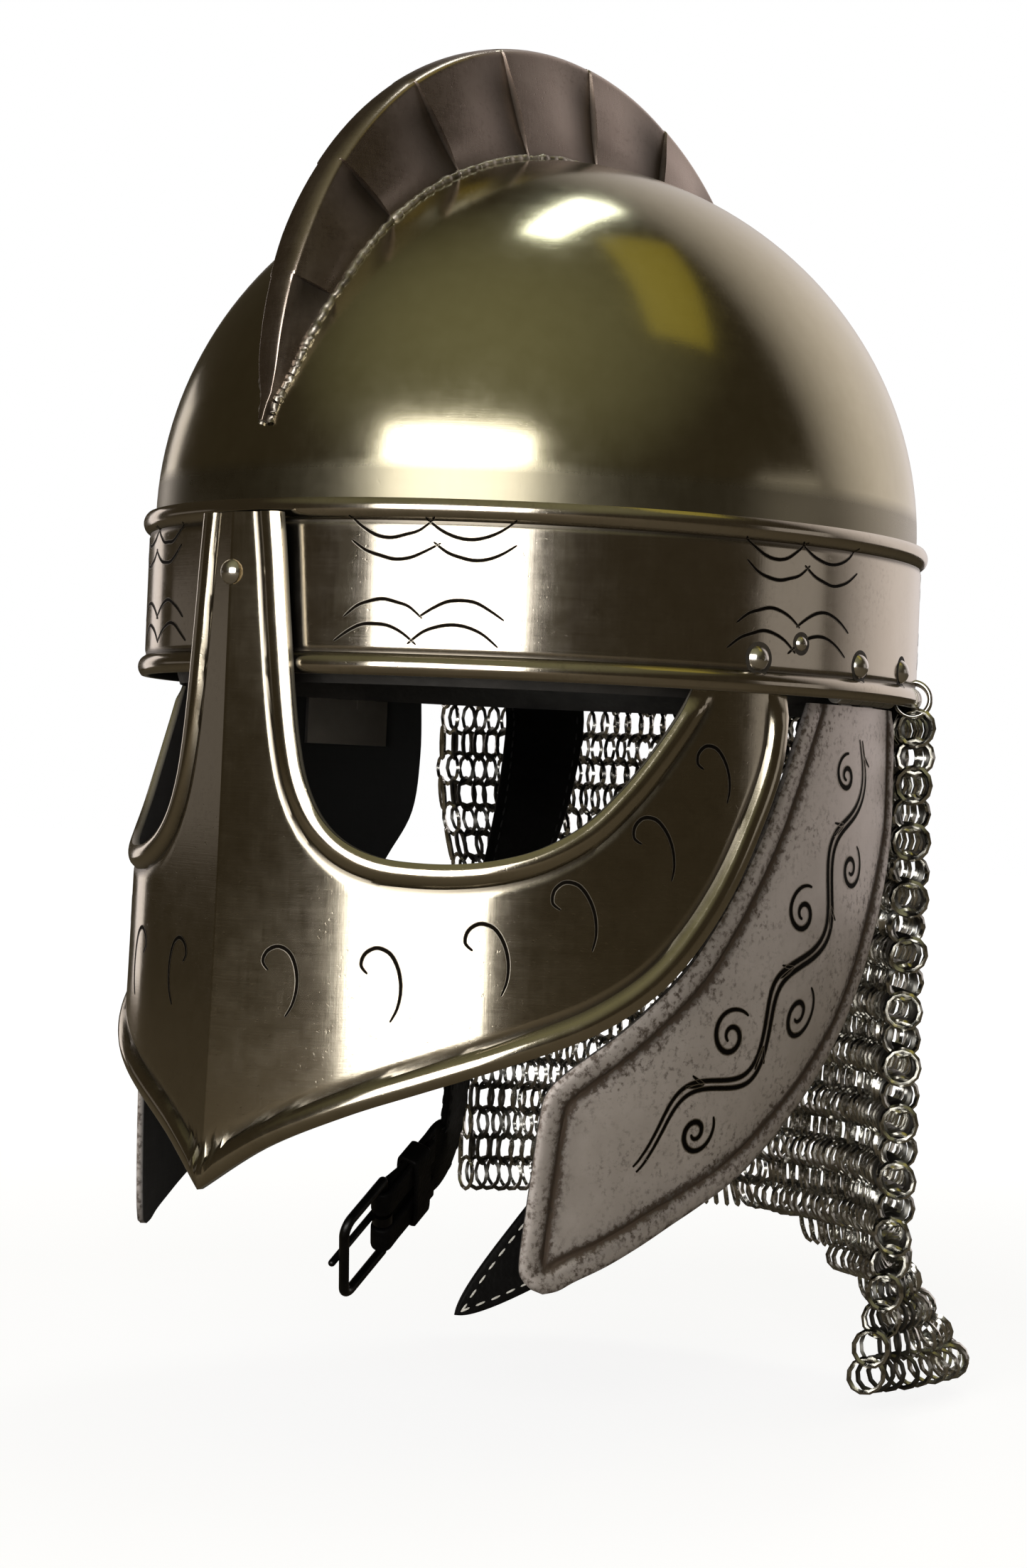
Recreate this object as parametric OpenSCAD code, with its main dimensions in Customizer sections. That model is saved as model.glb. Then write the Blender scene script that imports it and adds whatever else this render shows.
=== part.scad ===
// Crested helmet with a face mask, hinged cheek plates, chin straps and a mail curtain.
// Millimetres, +Z up, front towards -Y, wearer's left towards +X.
// The origin is the middle of the brow band's lower edge.
// Angles round the helmet are measured from the front, positive towards the wearer's left.

/* [Shell] */
// Half the outside width of the brow band
half_w = 106; // [96:1:116]
// Half the outside length of the brow band
half_l = 115; // [104:1:126]
// Height of the brow band
band_h = 45; // [40:1:54]
// Height of the bowl above the brow band
bowl_h = 106; // [90:1:120]
// Thickness of the steel sheet
sheet = 1.3; // [1:0.1:1.5]
// Height of the rolled beads over the sheet
bead_h = 1.8; // [1:0.1:2]

/* [Crest] */
// Height of the crest over the bowl
crest_h = 31; // [18:1:40]
// Half the width of the crest at its foot
crest_foot = 9; // [7:0.5:12]
// Half the width of the crest at its rim
crest_rim = 4.5; // [3.5:0.5:6]
// Number of pleats along the crest
pleat_n = 9; // [5:1:12]
// Depth of one pleat
pleat_d = 1.2; // [0:0.1:2]

/* [Face mask] */
// Depth of the mask's tip below the band
chin_z = -133.5; // [-145:0.5:-125]
// Height of the nasal's top over the band's lower edge
nasal_z = 41; // [34:0.5:43]
// How far the centre crease stands forward
ridge_h = 5; // [3:0.5:7]
// Width of the raised border
border_w = 6; // [4:0.5:7]

/* [Cheek plates] */
// Angle of the hinge's middle, from the front
hinge_a = 102.3; // [100:0.1:104]
// Height of the hinge pin's axis over the band's lower edge
hinge_z = 1.2; // [0.8:0.1:1.6]
// Length of one hinge knuckle
knuckle_l = 7; // [6:0.5:8]
// Radius of the hinge knuckles
knuckle_r = 2.2; // [2:0.1:2.4]
// Radius of the hinge pins
pin_r = 1.2; // [1:0.1:1.3]

/* [Chin straps] */
// Width of the chin straps
strap_w = 25; // [20:1:26]
// Thickness of the chin straps
strap_t = 2.6; // [2:0.1:3]
// Angle of the strap rivets, from the front
strap_a = 139; // [136:1:142]

/* [Mail] */
// Angle where the mail begins, from the front
mail_a = 122; // [121:0.5:126]
// Depth of the mail's hem below the band
mail_z = -200; // [-215:1:-170]
// Thickness of the mail
mail_t = 2.4; // [2:0.2:4]
// Height of one row of mail rings
mail_row = 8.1; // [7:0.1:9]
// How far each row of rings stands out
mail_rise = 2.2; // [0:0.1:3]
// Outside radius of a mail ring
ring_r = 5.6; // [5:0.1:6]

/* [Liner] */
// Number of tongues in the liner's crown
tongue_n = 8; // [6:1:10]
// Thickness of the liner leather
liner_t = 2.2; // [1.6:0.1:2.6]

/* [Hidden] */
$fn = 48;

// Room left between two sheets that lie on each other
gap = 0.25;
// Room round a rivet in its hole
rivet_fit = 0.06;
// Running room round a hinge pin or a buckle bar
run_fit = 0.05;
band_in = -sheet;
lap_out = band_in - gap;
lap_mid = lap_out - sheet / 2;
lap_in = lap_out - sheet;
bowl_w = half_w + lap_out;
bowl_l = half_l + lap_out;
bowl_rim = 22;

// Places of the rivets: angle from the front, height over the band's lower edge
nasal_rivet_z = 25.5;
mask_rivet = [74.5, 8.9];
hinge_rivet_a = [95.1, 109.6];
hinge_rivet_z = 9.1;
liner_rivet_a = [81.9, 158];
liner_rivet_z = 13.6;
strap_rivet_z = 10;
big_head = 3.3;
big_shank = 1.7;
small_head = 2;
small_shank = 1;

// Shared curves

function mix(a, b, t) = a + (b - a) * t;
function smooth(t) = let (c = max(0, min(1, t))) c * c * (3 - 2 * c);
function unit(v) = v / norm(v);

// Point of a smooth curve through the points p, at t from 0 to len(p) - 1
function curve(p, t) =
    let (n = len(p), i = min(n - 2, max(0, floor(t))), f = t - i,
         a = p[max(0, i - 1)], b = p[i], c = p[i + 1], d = p[min(n - 1, i + 2)])
    b + 0.5 * f * ((c - a) + f * ((2 * a - 5 * b + 4 * c - d) + f * (3 * (b - c) + d - a)));

// The upright elliptical wall that the band, mask, plates and mail follow
function wall_normal(a) = let (v = [half_l * sin(a), -half_w * cos(a)]) unit(v);
function wall(a, z, off) =
    let (n = wall_normal(a)) [half_w * sin(a) + off * n[0], -half_l * cos(a) + off * n[1], z];
function wall_heading(a) = let (n = wall_normal(a)) atan2(n[1], n[0]);
// Length along the wall of one degree, near enough for borders
deg_mm = half_w * PI / 180;

// Shared solids

// Skin through sections of equal length; closed makes a ring, else both ends get caps
module skin(sections, closed = false) {
    n = len(sections);
    m = len(sections[0]);
    steps = closed ? n : n - 1;
    sides = [for (i = [0:steps - 1]) for (j = [0:m - 1])
        let (k = (i + 1) % n, l = (j + 1) % m, a = i * m + j, b = i * m + l, c = k * m + l, d = k * m + j)
        each [[a, b, c], [a, c, d]]];
    e = (n - 1) * m;
    caps = closed ? [] : [for (j = [0:m / 2 - 2]) let (a = m - 1 - j, b = m - 2 - j)
        each [[a, b, j + 1], [a, j + 1, j], [e + j, e + j + 1, e + b], [e + j, e + b, e + a]]];
    polyhedron([for (s = sections) each s], concat(sides, caps), convexity = 6);
}

function reversed(v) = [for (i = [len(v) - 1:-1:0]) v[i]];

// Moves to a point of the wall, with local +Z out of the wall and local +Y up
module on_wall(a, z, off) {
    translate(wall(a, z, off)) rotate([0, 0, wall_heading(a) + 90]) rotate([90, 0, 0]) children();
}

// Rivet with a domed head out of the wall, its grip along the shank and a peened tail
module rivet(a, z, off, grip, head_r, shank_r) {
    head_h = 0.62 * head_r;
    ball_r = (head_r * head_r + head_h * head_h) / (2 * head_h);
    tail_h = 0.55 * head_r;
    on_wall(a, z, off + 0.1) {
        rotate_extrude() intersection() {
            translate([0, head_h - ball_r]) circle(r = ball_r);
            square([head_r, head_h]);
        }
        translate([0, 0, -grip - 0.4]) cylinder(r = shank_r, h = grip + 0.6);
        translate([0, 0, -grip - 0.2 - tail_h]) cylinder(r = 1.5 * shank_r, h = tail_h);
    }
}

module rivet_hole(a, z, shank_r) {
    on_wall(a, z, -20) cylinder(r = shank_r + rivet_fit, h = 40);
}

// Bowl, band and crest

// Ring of the bowl at lift t from 0 at the band to 90 at the top, inset by the sheet if inner
function bowl_ring(t, inset, n) =
    [for (i = [0:n - 1]) let (a = 360 * i / n)
        [(bowl_w - inset) * cos(t) * sin(a), -(bowl_l - inset) * cos(t) * cos(a),
         band_h + (bowl_h - inset) * sin(t)]];

module skull_bowl() {
    around = 60;
    lifts = [0, 10, 20, 30, 40, 50, 60, 70, 80];
    outer = concat([[for (p = bowl_ring(0, 0, around)) [p[0], p[1], bowl_rim]]],
                   [for (t = lifts) bowl_ring(t, 0, around)]);
    inner = concat([[for (p = bowl_ring(0, sheet, around)) [p[0], p[1], bowl_rim]]],
                   [for (t = lifts) bowl_ring(t, sheet, around)]);
    rings = concat(reversed(inner), outer);
    n = len(rings);
    last = n * around;
    sides = [for (i = [0:n - 2]) for (j = [0:around - 1]) let (l = (j + 1) % around)
        [i * around + j, (i + 1) * around + j, (i + 1) * around + l, i * around + l]];
    tops = [for (j = [0:around - 1]) let (l = (j + 1) % around)
        each [[l, last + 1, j], [(n - 1) * around + j, last, (n - 1) * around + l]]];
    points = concat([for (r = rings) each r], [[0, 0, band_h + bowl_h], [0, 0, band_h + bowl_h - sheet]]);
    color("#8d8878") difference() {
        polyhedron(points, concat(sides, tops), convexity = 6);
        rivet_hole(0, nasal_rivet_z, big_shank);
    }
}

module brow_band() {
    around = 80;
    b = bead_h;
    h = band_h;
    // Offset from the wall and height, up the outside and down the inside
    profile = [[0.3 * b, 0], [b, 1.4], [b, 3.7], [0.3 * b, 5], [0, 5.4], [0, h - 5.4],
               [0.3 * b, h - 5], [b, h - 3.7], [b, h - 1.4], [0.3 * b, h],
               [band_in, h], [band_in, 0]];
    color("#979283") difference() {
        skin([for (i = [0:around - 1]) [for (q = profile) wall(360 * i / around, q[1], q[0])]], true);
        rivet_hole(0, nasal_rivet_z, big_shank);
        for (s = [-1, 1]) {
            rivet_hole(s * mask_rivet[0], mask_rivet[1], big_shank);
            for (a = hinge_rivet_a) rivet_hole(s * a, hinge_rivet_z, big_shank);
            for (a = liner_rivet_a) rivet_hole(s * a, liner_rivet_z, small_shank);
            rivet_hole(s * strap_a, strap_rivet_z, big_shank);
        }
        for (a = hanger_a) on_wall(a, hanger_hole_z, -6) cylinder(r = wire_r + 0.5, h = 12);
    }
}

// Crest angles in the middle plane, from the brow over the top to the back
crest_from = 10;
crest_to = 156;
crest_step = (crest_to - crest_from) / pleat_n;
// The first fold behind the front tip
crest_fold = crest_from + 0.2 * crest_step;
function crest_lift(t) = max(0.06, sin(180 * (t - crest_from) / (crest_to - crest_from)));
// Pleat: each panel falls in towards the back, and the side steps out again at the next fold
function crest_pleat(t) = let (u = (t - crest_fold) / crest_step) pleat_d * (0.5 - u + floor(u));
// Point over the bowl at angle t, sideways x and height h
function crest_point(t, x, h) =
    let (c = cos(t) / bowl_l, s = sin(t) / bowl_h,
         r = sqrt(1 - x * x / (bowl_w * bowl_w)) / sqrt(c * c + s * s) + h)
    [x, -r * cos(t), band_h + r * sin(t)];

module crest_comb() {
    inside = [0.02, 0.35, 0.68, 0.98];
    panels = [for (i = [0:pleat_n - 1]) for (f = inside) crest_fold + crest_step * (i + f)];
    stations = concat([crest_from + 0.3, crest_fold - 0.3],
                      [for (t = panels) if (t < crest_to - 1) t], [crest_to - 0.3]);
    color("#7d766a") skin([for (t = stations)
        let (lift = crest_lift(t), h = max(2 * sheet, crest_h * lift), p = crest_pleat(t) * lift,
             foot = mix(3.5, crest_foot, min(1, 2.2 * lift)), rim = mix(2.4, crest_rim, min(1, 2 * lift)),
             mid = (foot + rim) / 2 + p,
             half = [[foot, gap], [mid, 0.45 * h], [rim + p * 0.5, h - 1.5], [0.6 * rim, h]],
             outer = concat([for (q = half) [q[0], q[1]]], [for (q = reversed(half)) [-q[0], q[1]]]),
             inner = concat([for (i = [0:3]) let (q = half[i])
                                [q[0] - sheet, i == 0 ? gap : i == 1 ? q[1] - sheet / 2 : q[1] - sheet]],
                            [for (i = [3:-1:0]) let (q = half[i])
                                [sheet - q[0], i == 0 ? gap : i == 1 ? q[1] - sheet / 2 : q[1] - sheet]]))
        [for (q = concat(outer, reversed(inner))) crest_point(t, q[0], q[1])]]);
}

// Face mask

// Edge of the eye opening, from the nasal's top corner to the temple: angle, height
eye_rail = [[7.2, nasal_z], [7.9, 30], [8.6, 17], [9.3, 5], [10, -6], [11, -18], [12.4, -28],
            [14.8, -36.5], [18.4, -42.5], [23.2, -46], [28.5, -47], [34, -46.8], [39.5, -45.2],
            [45, -41.8], [50.5, -35.5], [55.5, -26], [60, -15], [63.8, -4], [66.5, 7], [68.5, 18]];
// Lower edge, from the tip to the temple
chin_rail = [[0, chin_z], [9, -121.5], [20, -112], [31, -104.3], [42, -96.8], [53, -88.5], [62, -77],
             [69.5, -60], [75.5, -39.5], [80.3, -14], [79.8, 18]];
mask_tip = len(eye_rail) - len(chin_rail);
mask_front = 1.5;
mask_flare = 2;
function mask_eye(k) = curve(eye_rail, k);
function mask_low(k) = k <= mask_tip ? [0, mix(nasal_z, chin_z, pow(k / mask_tip, 1.3))]
                                     : curve(chin_rail, k - mask_tip);
// Offset of the mask's middle surface: proud of the band in front, inside it at the temples
function mask_off(a, z) =
    mix(mask_front, lap_mid, smooth((a - 15) / 47)) + ridge_h * pow(max(0, 1 - a / 20), 2)
    + (z < 0 ? mask_flare * pow(z / chin_z, 2) : 0);
// Border height at row r of 8, on the eye edge and on the lower edge
row_rise = [0.3, 1, 1, 0];
function mask_rise(k, r, a, z) =
    bead_h * (a > 40 ? smooth((-1.5 - z) / 4) : 1)
    * (r < 4 ? row_rise[r] : r > 4 && k >= mask_tip ? row_rise[8 - r] : 0);
function mask_row(k, r) =
    let (e = mask_eye(k), c = mask_low(k), l = norm([(c[0] - e[0]) * deg_mm, c[1] - e[1]]),
         d = [0, 0.27, 0.73, 1] * min(border_w, 0.46 * l) / l,
         f = r < 4 ? d[r] : r > 4 ? 1 - d[8 - r] : 0.5) mix(e, c, f);

module face_mask() {
    sub = 2;
    last = sub * (len(eye_rail) - 1);
    tip = sub * mask_tip;
    rows = 9;
    grid = (last + 1) * rows;
    // Index of a point: side 0 or 1, layer 0 outside or 1 inside; both sides share the crease
    function at(side, layer, i, r) =
        ((r == rows - 1 && i <= tip ? 0 : side) * 2 + layer) * grid + i * rows + r;
    points = [for (side = [0, 1]) for (layer = [0, 1]) for (i = [0:last]) for (r = [0:rows - 1])
        let (k = i / sub, q = mask_row(k, r), rise = layer == 0 ? mask_rise(k, r, q[0], q[1]) : 0,
             off = mask_off(q[0], q[1]) + (layer == 0 ? sheet / 2 + rise : -sheet / 2))
        wall(side == 0 ? q[0] : -q[0], q[1], off)];
    function turn(side, f) = side == 0 ? f : reversed(f);
    faces = [for (side = [0, 1]) each concat(
        [for (i = [0:last - 1]) for (r = [0:rows - 2]) for (layer = [0, 1])
            turn((side + layer) % 2, [at(side, layer, i, r), at(side, layer, i + 1, r),
                                      at(side, layer, i + 1, r + 1), at(side, layer, i, r + 1)])],
        [for (i = [0:last - 1]) turn(side, [at(side, 0, i + 1, 0), at(side, 0, i, 0),
                                            at(side, 1, i, 0), at(side, 1, i + 1, 0)])],
        [for (i = [tip:last - 1]) turn(side, [at(side, 0, i, rows - 1), at(side, 0, i + 1, rows - 1),
                                              at(side, 1, i + 1, rows - 1), at(side, 1, i, rows - 1)])],
        [for (r = [0:rows - 2]) each [
            turn(side, [at(side, 0, 0, r), at(side, 0, 0, r + 1), at(side, 1, 0, r + 1), at(side, 1, 0, r)]),
            turn(side, [at(side, 0, last, r + 1), at(side, 0, last, r),
                        at(side, 1, last, r), at(side, 1, last, r + 1)])]])];
    color("#938d7c") difference() {
        polyhedron(points, faces, convexity = 8);
        rivet_hole(0, nasal_rivet_z, big_shank);
        for (s = [-1, 1]) rivet_hole(s * mask_rivet[0], mask_rivet[1], big_shank);
    }
}

module nasal_rivet() {
    top = mask_off(0, nasal_rivet_z) + sheet / 2;
    color("#b5b2a8") rivet(0, nasal_rivet_z, top, top - lap_in + gap, big_head, big_shank);
}

module mask_end_rivets() {
    color("#b5b2a8") for (s = [-1, 1])
        rivet(s * mask_rivet[0], mask_rivet[1], 0, gap - lap_in, big_head, big_shank);
}

// Cheek plates and their hinges

plate_top = hinge_z - knuckle_r - 0.4;
// Offset of the plate's middle surface at d from its front edge: through the pin's axis at the top,
// leaning out below, with the tip drawn in and the lower back edge turned inward
pin_off = -6;
function plate_off(d, z) =
    let (k = min(1, max(0, (plate_top - z) / 150)))
    pin_off + 3.5 * k - 2.6 * pow(max(0, (k - 0.65) / 0.35), 1.5) - 0.16 * d * smooth((k - 0.35) / 0.5);
// Front edge and back edge of the left plate from the top to the tip: angle, height
plate_front = [[87.3, plate_top], [85.2, -10], [82.6, -21], [79.3, -34], [75.6, -46.5], [71.4, -59],
               [66.8, -71], [61.5, -81], [55.5, -90.5], [50, -98], [46.9, -104], [46, -112], [45.4, -123],
               [44.8, -134], [44.2, -146.3], [44.5, -150.9], [46, -153.9]];
plate_back = [[117, plate_top], [117.3, -18], [116.3, -36], [112.3, -50], [107.8, -64], [104.8, -78.4],
              [101.1, -92], [95.6, -104.4], [88.5, -116.2], [81.7, -125.8], [74.9, -132.7], [68, -138.5],
              [62, -144], [56.8, -148.6], [52.2, -152.1], [49.8, -154.3], [47.6, -155.1]];
plate_rise = 1;

module cheek_plate() {
    last = len(plate_front) - 1;
    rows = [0, 0.25, 0.75, 1];
    skin([for (k = [0:last])
        let (f = plate_front[k], b = plate_back[k], l = norm([(b[0] - f[0]) * deg_mm, b[1] - f[1]]),
             d = rows * min(border_w, 0.4 * l) / l, inner = [for (j = [1:5]) mix(d[3], 1 - d[3], j / 6)],
             cols = concat(d, inner, [for (q = reversed(d)) 1 - q]),
             up = k == 0 ? 0 : plate_rise, rise = [0.3, 1, 1, 0, 0, 0, 0, 0, 0, 0, 1, 1, 0.3] * up,
             line = [for (j = [0:12]) let (q = mix(f, b, cols[j]))
                 [wall(q[0], q[1], plate_off(cols[j] * l, q[1]) + sheet / 2 + rise[j]),
                  wall(q[0], q[1], plate_off(cols[j] * l, q[1]) - sheet / 2)]])
        concat([for (q = line) q[0]], [for (q = reversed(line)) q[1]])]);
}

module left_cheek_plate() { color("#8f8782") cheek_plate(); }
module right_cheek_plate() { color("#8f8782") mirror([1, 0, 0]) cheek_plate(); }

// Strip of sheet that follows the wall between two angles and two heights
module wall_strip(a0, a1, z0, z1, off0, off1) {
    n = 8;
    skin([for (i = [0:n]) let (a = mix(a0, a1, i / n))
        [wall(a, z0, off1), wall(a, z1, off1), wall(a, z1, off0), wall(a, z0, off0)]]);
}

// Hinge frame: local X along the pin, local Y out of the wall, origin at the pin's middle
module at_hinge() {
    translate(wall(hinge_a, hinge_z, pin_off)) rotate([0, 0, wall_heading(hinge_a) - 90]) children();
}

knuckle_gap = 0.4;
knuckle_pitch = knuckle_l + knuckle_gap;
pin_l = 5 * knuckle_l + 4 * knuckle_gap;
leaf_t = 1.2;
leaf_a = 10.6;
leaf_low = 5;
leaf_high = 16;

// One knuckle at place i from -2 to 2
module knuckle(i) {
    translate([i * knuckle_pitch - knuckle_l / 2, 0, 0]) rotate([0, 90, 0])
        cylinder(r = knuckle_r, h = knuckle_l);
}
module pin_bore(fit) {
    translate([-pin_l, 0, 0]) rotate([0, 90, 0]) cylinder(r = pin_r + fit, h = 2 * pin_l);
}

// Leaf on the band: three knuckles, each with a bent arm up to the leaf
module band_leaf() {
    arm = -pin_off + lap_out - leaf_t;
    difference() {
        union() {
            wall_strip(hinge_a - leaf_a, hinge_a + leaf_a, leaf_low - 1, leaf_high,
                       lap_out - leaf_t, lap_out);
            at_hinge() for (i = [-2, 0, 2]) {
                knuckle(i);
                translate([i * knuckle_pitch - knuckle_l / 2, -knuckle_r, 0.4])
                    cube([knuckle_l, leaf_t, leaf_low - hinge_z + 0.6]);
                translate([i * knuckle_pitch - knuckle_l / 2, -knuckle_r, leaf_low - hinge_z - 0.4])
                    cube([knuckle_l, arm + knuckle_r + 0.4 - 0.175 * i * i, leaf_t]);
            }
        }
        at_hinge() pin_bore(0.02);
        for (a = hinge_rivet_a) rivet_hole(a, hinge_rivet_z, big_shank);
    }
}

// Leaf on the cheek plate's inner face: two knuckles, each with a short arm
module plate_leaf() {
    off = pin_off - sheet / 2 - 0.15;
    difference() {
        union() {
            wall_strip(hinge_a - 8, hinge_a + 8, -16, plate_top - 0.6, off - leaf_t, off);
            at_hinge() for (i = [-1, 1]) {
                knuckle(i);
                translate([i * knuckle_pitch - knuckle_l / 2, -knuckle_r, plate_top - hinge_z - 3.4])
                    cube([knuckle_l, leaf_t - 0.35, -plate_top + hinge_z + 2.4]);
            }
        }
        at_hinge() pin_bore(run_fit);
    }
}

module hinge_pin() {
    end_h = 1;
    at_hinge() rotate([0, 90, 0]) {
        translate([0, 0, -pin_l / 2 - 0.3]) cylinder(r = pin_r, h = pin_l + 0.6);
        for (s = [-1, 1]) translate([0, 0, s * (pin_l / 2 + 0.2 + end_h / 2)])
            cylinder(r = 1.5 * pin_r, h = end_h, center = true);
    }
}

module left_hinge_leaf() { color("#77736c") band_leaf(); }
module right_hinge_leaf() { color("#77736c") mirror([1, 0, 0]) band_leaf(); }
module left_cheek_leaf() { color("#77736c") plate_leaf(); }
module right_cheek_leaf() { color("#77736c") mirror([1, 0, 0]) plate_leaf(); }
module left_hinge_pin() { color("#a5a299") hinge_pin(); }
module right_hinge_pin() { color("#a5a299") mirror([1, 0, 0]) hinge_pin(); }
module hinge_rivets() {
    color("#b5b2a8") for (s = [-1, 1]) for (a = hinge_rivet_a)
        rivet(s * a, hinge_rivet_z, 0, gap - lap_out + leaf_t, big_head, big_shank);
}

// Liner

liner_off = -9;
liner_low = -2;
liner_high = 33;
tongue_off = liner_off - liner_t - gap;
tongue_low = 24;
tongue_top = 116;
lace_turn = 78;
lace_ring = (half_w + tongue_off) * cos(lace_turn);
lace_r = 1.5;
hem_r = 4;
lace_in = 2.2;

module liner_headband() {
    around = 64;
    color("#241f1b") difference() {
        skin([for (i = [0:around - 1]) let (a = 360 * i / around)
            [wall(a, liner_low, liner_off), wall(a, liner_high, liner_off),
             wall(a, liner_high, liner_off - liner_t), wall(a, liner_low, liner_off - liner_t)]], true);
        for (s = [-1, 1]) for (a = liner_rivet_a) rivet_hole(s * a, liner_rivet_z, small_shank);
    }
}

// Tongue from the headband up to the crown, drawn in by the lace through its hem
module tongue(a) {
    n = 7;
    wide = 165 / tongue_n;
    skin([for (i = [0:n])
        let (t = lace_turn * i / n, z = tongue_low + (tongue_top - tongue_low) * sin(t) / sin(lace_turn),
             w = wide * mix(1, 0.62, smooth(i / n)), inset = liner_t)
        [for (q = [[-1, 1], [0, 1], [1, 1], [1, 0], [0, 0], [-1, 0]])
            let (p = wall(a + q[0] * w, z, tongue_off - q[1] * inset * cos(t)))
            [p[0] * cos(t), p[1] * cos(t), z - q[1] * inset * sin(t)]]]);
}

module liner_crown() {
    hem = 210 / tongue_n;
    color("#2b2520") for (i = [0:tongue_n - 1]) let (a = 360 * (i + 0.5) / tongue_n) {
        tongue(a);
        translate([0, 0, tongue_top]) rotate([0, 0, a - 90 - hem / 2]) rotate_extrude(angle = hem)
            translate([lace_ring - lace_in, 0]) difference() {
                circle(r = hem_r);
                circle(r = lace_r + 0.4);
            }
    }
}

module liner_lace() {
    color("#3a322b") translate([0, 0, tongue_top]) rotate_extrude()
        translate([lace_ring - lace_in, 0]) circle(r = lace_r);
}

module liner_rivets() {
    color("#b5b2a8") for (s = [-1, 1]) for (a = liner_rivet_a)
        rivet(s * a, liner_rivet_z, 0, liner_t - liner_off + gap, small_head, small_shank);
}

module liner_spacers() {
    color("#a5a299") for (s = [-1, 1]) for (a = liner_rivet_a)
        on_wall(s * a, liner_rivet_z, liner_off + gap) difference() {
            cylinder(r = 2.4, h = band_in - liner_off - 2 * gap);
            translate([0, 0, -1]) cylinder(r = small_shank + rivet_fit, h = -liner_off + 2);
        }
}

// Chin straps

washer_r = 6;
washer_t = 1.3;
strap_out = band_in - 0.3 - washer_t - 0.5;
strap_mid = strap_out - strap_t / 2;
strap_hang = wall(strap_a, strap_rivet_z, strap_mid);
strap_top = 8;
strap_lie = unit([-0.08, -0.82, -0.56]);
strap_face = [0.87, -0.45, 0.2];
buckle_bar = [45, -6, -155];
// Distances from the buckle's bar along the straight end of the right strap
fold_l = [38, 26, 14.7, 3.4];
// Route of the straps' middle from the top end, drawn on the left; the right one is its mirror image
hung = [strap_hang[0], strap_hang[1]];
route = [[hung[0], hung[1], strap_rivet_z + strap_top], [hung[0], hung[1], strap_rivet_z],
         wall(strap_a, 1, strap_mid - 0.8),
         [62.2, 79, -10.5], [55.6, 65.6, -35], [52, 47.7, -70]];
left_route = concat(route, [[48, 22, -113], [37, -13, -142], [21.5, -47, -170.5]]);
right_route = concat(route, [[51, 34, -104]], [for (l = fold_l) buckle_bar - l * strap_lie]);

// Frame of a strap at t: its place, direction, outward face and side
function strap_frame(r, t) =
    let (n = len(r) - 1, p = curve(r, t), q = curve(r, min(n, t + 0.05)) - curve(r, max(0, t - 0.05)),
         d = unit(q), lead = wall_normal(strap_a), s = smooth((t - 2) / 5),
         face = mix([lead[0], lead[1], 0], strap_face, s), f = unit(face - (face * d) * d))
    [p, d, f, cross(d, f)];

// Half the strap's width at t: square at the top, and pointed over the last stretch if tip is set
function strap_half(t, n, tip) = strap_w / 2 * (tip ? pow(max(0.004, min(1, (n - t) / 0.65)), 0.75) : 1);

module strap(r, tip) {
    n = len(r) - 1;
    stops = concat([for (i = [0:1 / 3:n - 1]) i], [for (f = [1 / 4, 0.45, 0.6, 0.75, 0.88, 1]) n - 1 + f]);
    skin([for (t = stops)
        let (q = strap_frame(r, t), w = strap_half(t, n, tip) * q[3], h = strap_t / 2 * q[2])
        [q[0] - w - h, q[0] + w - h, q[0] + w + h, q[0] - w + h]]);
}

// Moves to a strap's frame at t: local X across the strap, local Y out of its face, local Z along it
module on_strap(r, t) {
    q = strap_frame(r, t);
    x = -q[3];
    multmatrix([[x[0], q[2][0], q[1][0], q[0][0]], [x[1], q[2][1], q[1][1], q[0][1]],
                [x[2], q[2][2], q[1][2], q[0][2]]]) children();
}

module strap_bore(r, t, radius) {
    on_strap(r, t) rotate([90, 0, 0]) cylinder(r = radius, h = 12, center = true);
}

punch_n = 5;
punch_r = 1.6;
module left_chin_strap() {
    n = len(left_route) - 1;
    color("#1c1a19") difference() {
        strap(left_route, true);
        rivet_hole(strap_a, strap_rivet_z, big_shank);
        for (i = [0:punch_n - 1]) strap_bore(left_route, n - 0.75 - i * 0.27, punch_r);
    }
}

// Buckle frame: local X along the bar, local Y out of the strap's face, local Z along the strap
bar_r = 1.5;
loop_in = bar_r + run_fit;
loop_out = loop_in + 1.85;
frame_w = strap_w + 5;
frame_l = 21;
prong_slot = 6;
module at_buckle() {
    x = cross(strap_face_right, lie_right);
    multmatrix([[x[0], strap_face_right[0], lie_right[0], -buckle_bar[0]],
                [x[1], strap_face_right[1], lie_right[1], buckle_bar[1]],
                [x[2], strap_face_right[2], lie_right[2], buckle_bar[2]]]) children();
}
lie_right = [-strap_lie[0], strap_lie[1], strap_lie[2]];
face_right = [-strap_face[0], strap_face[1], strap_face[2]];
strap_face_right = unit(face_right - (face_right * lie_right) * lie_right);

// The right strap folds round the buckle's bar and its tail lies under it
module right_chin_strap() {
    fold_w = strap_w - 0.6;
    color("#1c1a19") difference() {
        union() {
            mirror([1, 0, 0]) strap(right_route, false);
            at_buckle() {
                rotate([0, 90, 0]) cylinder(r = loop_out, h = fold_w, center = true);
                translate([-fold_w / 2, -strap_t / 2 - 2.1, -24.5]) cube([fold_w, 2.4, 24.5]);
                translate([-fold_w / 2, -strap_t / 2 - 0.2, -5]) cube([fold_w, strap_t, 5]);
            }
        }
        at_buckle() {
            rotate([0, 90, 0]) cylinder(r = loop_in, h = 2 * strap_w, center = true);
            translate([-prong_slot / 2, -10, -7]) cube([prong_slot, 20, 14]);
        }
        rivet_hole(-strap_a, strap_rivet_z, big_shank);
    }
}

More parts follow.
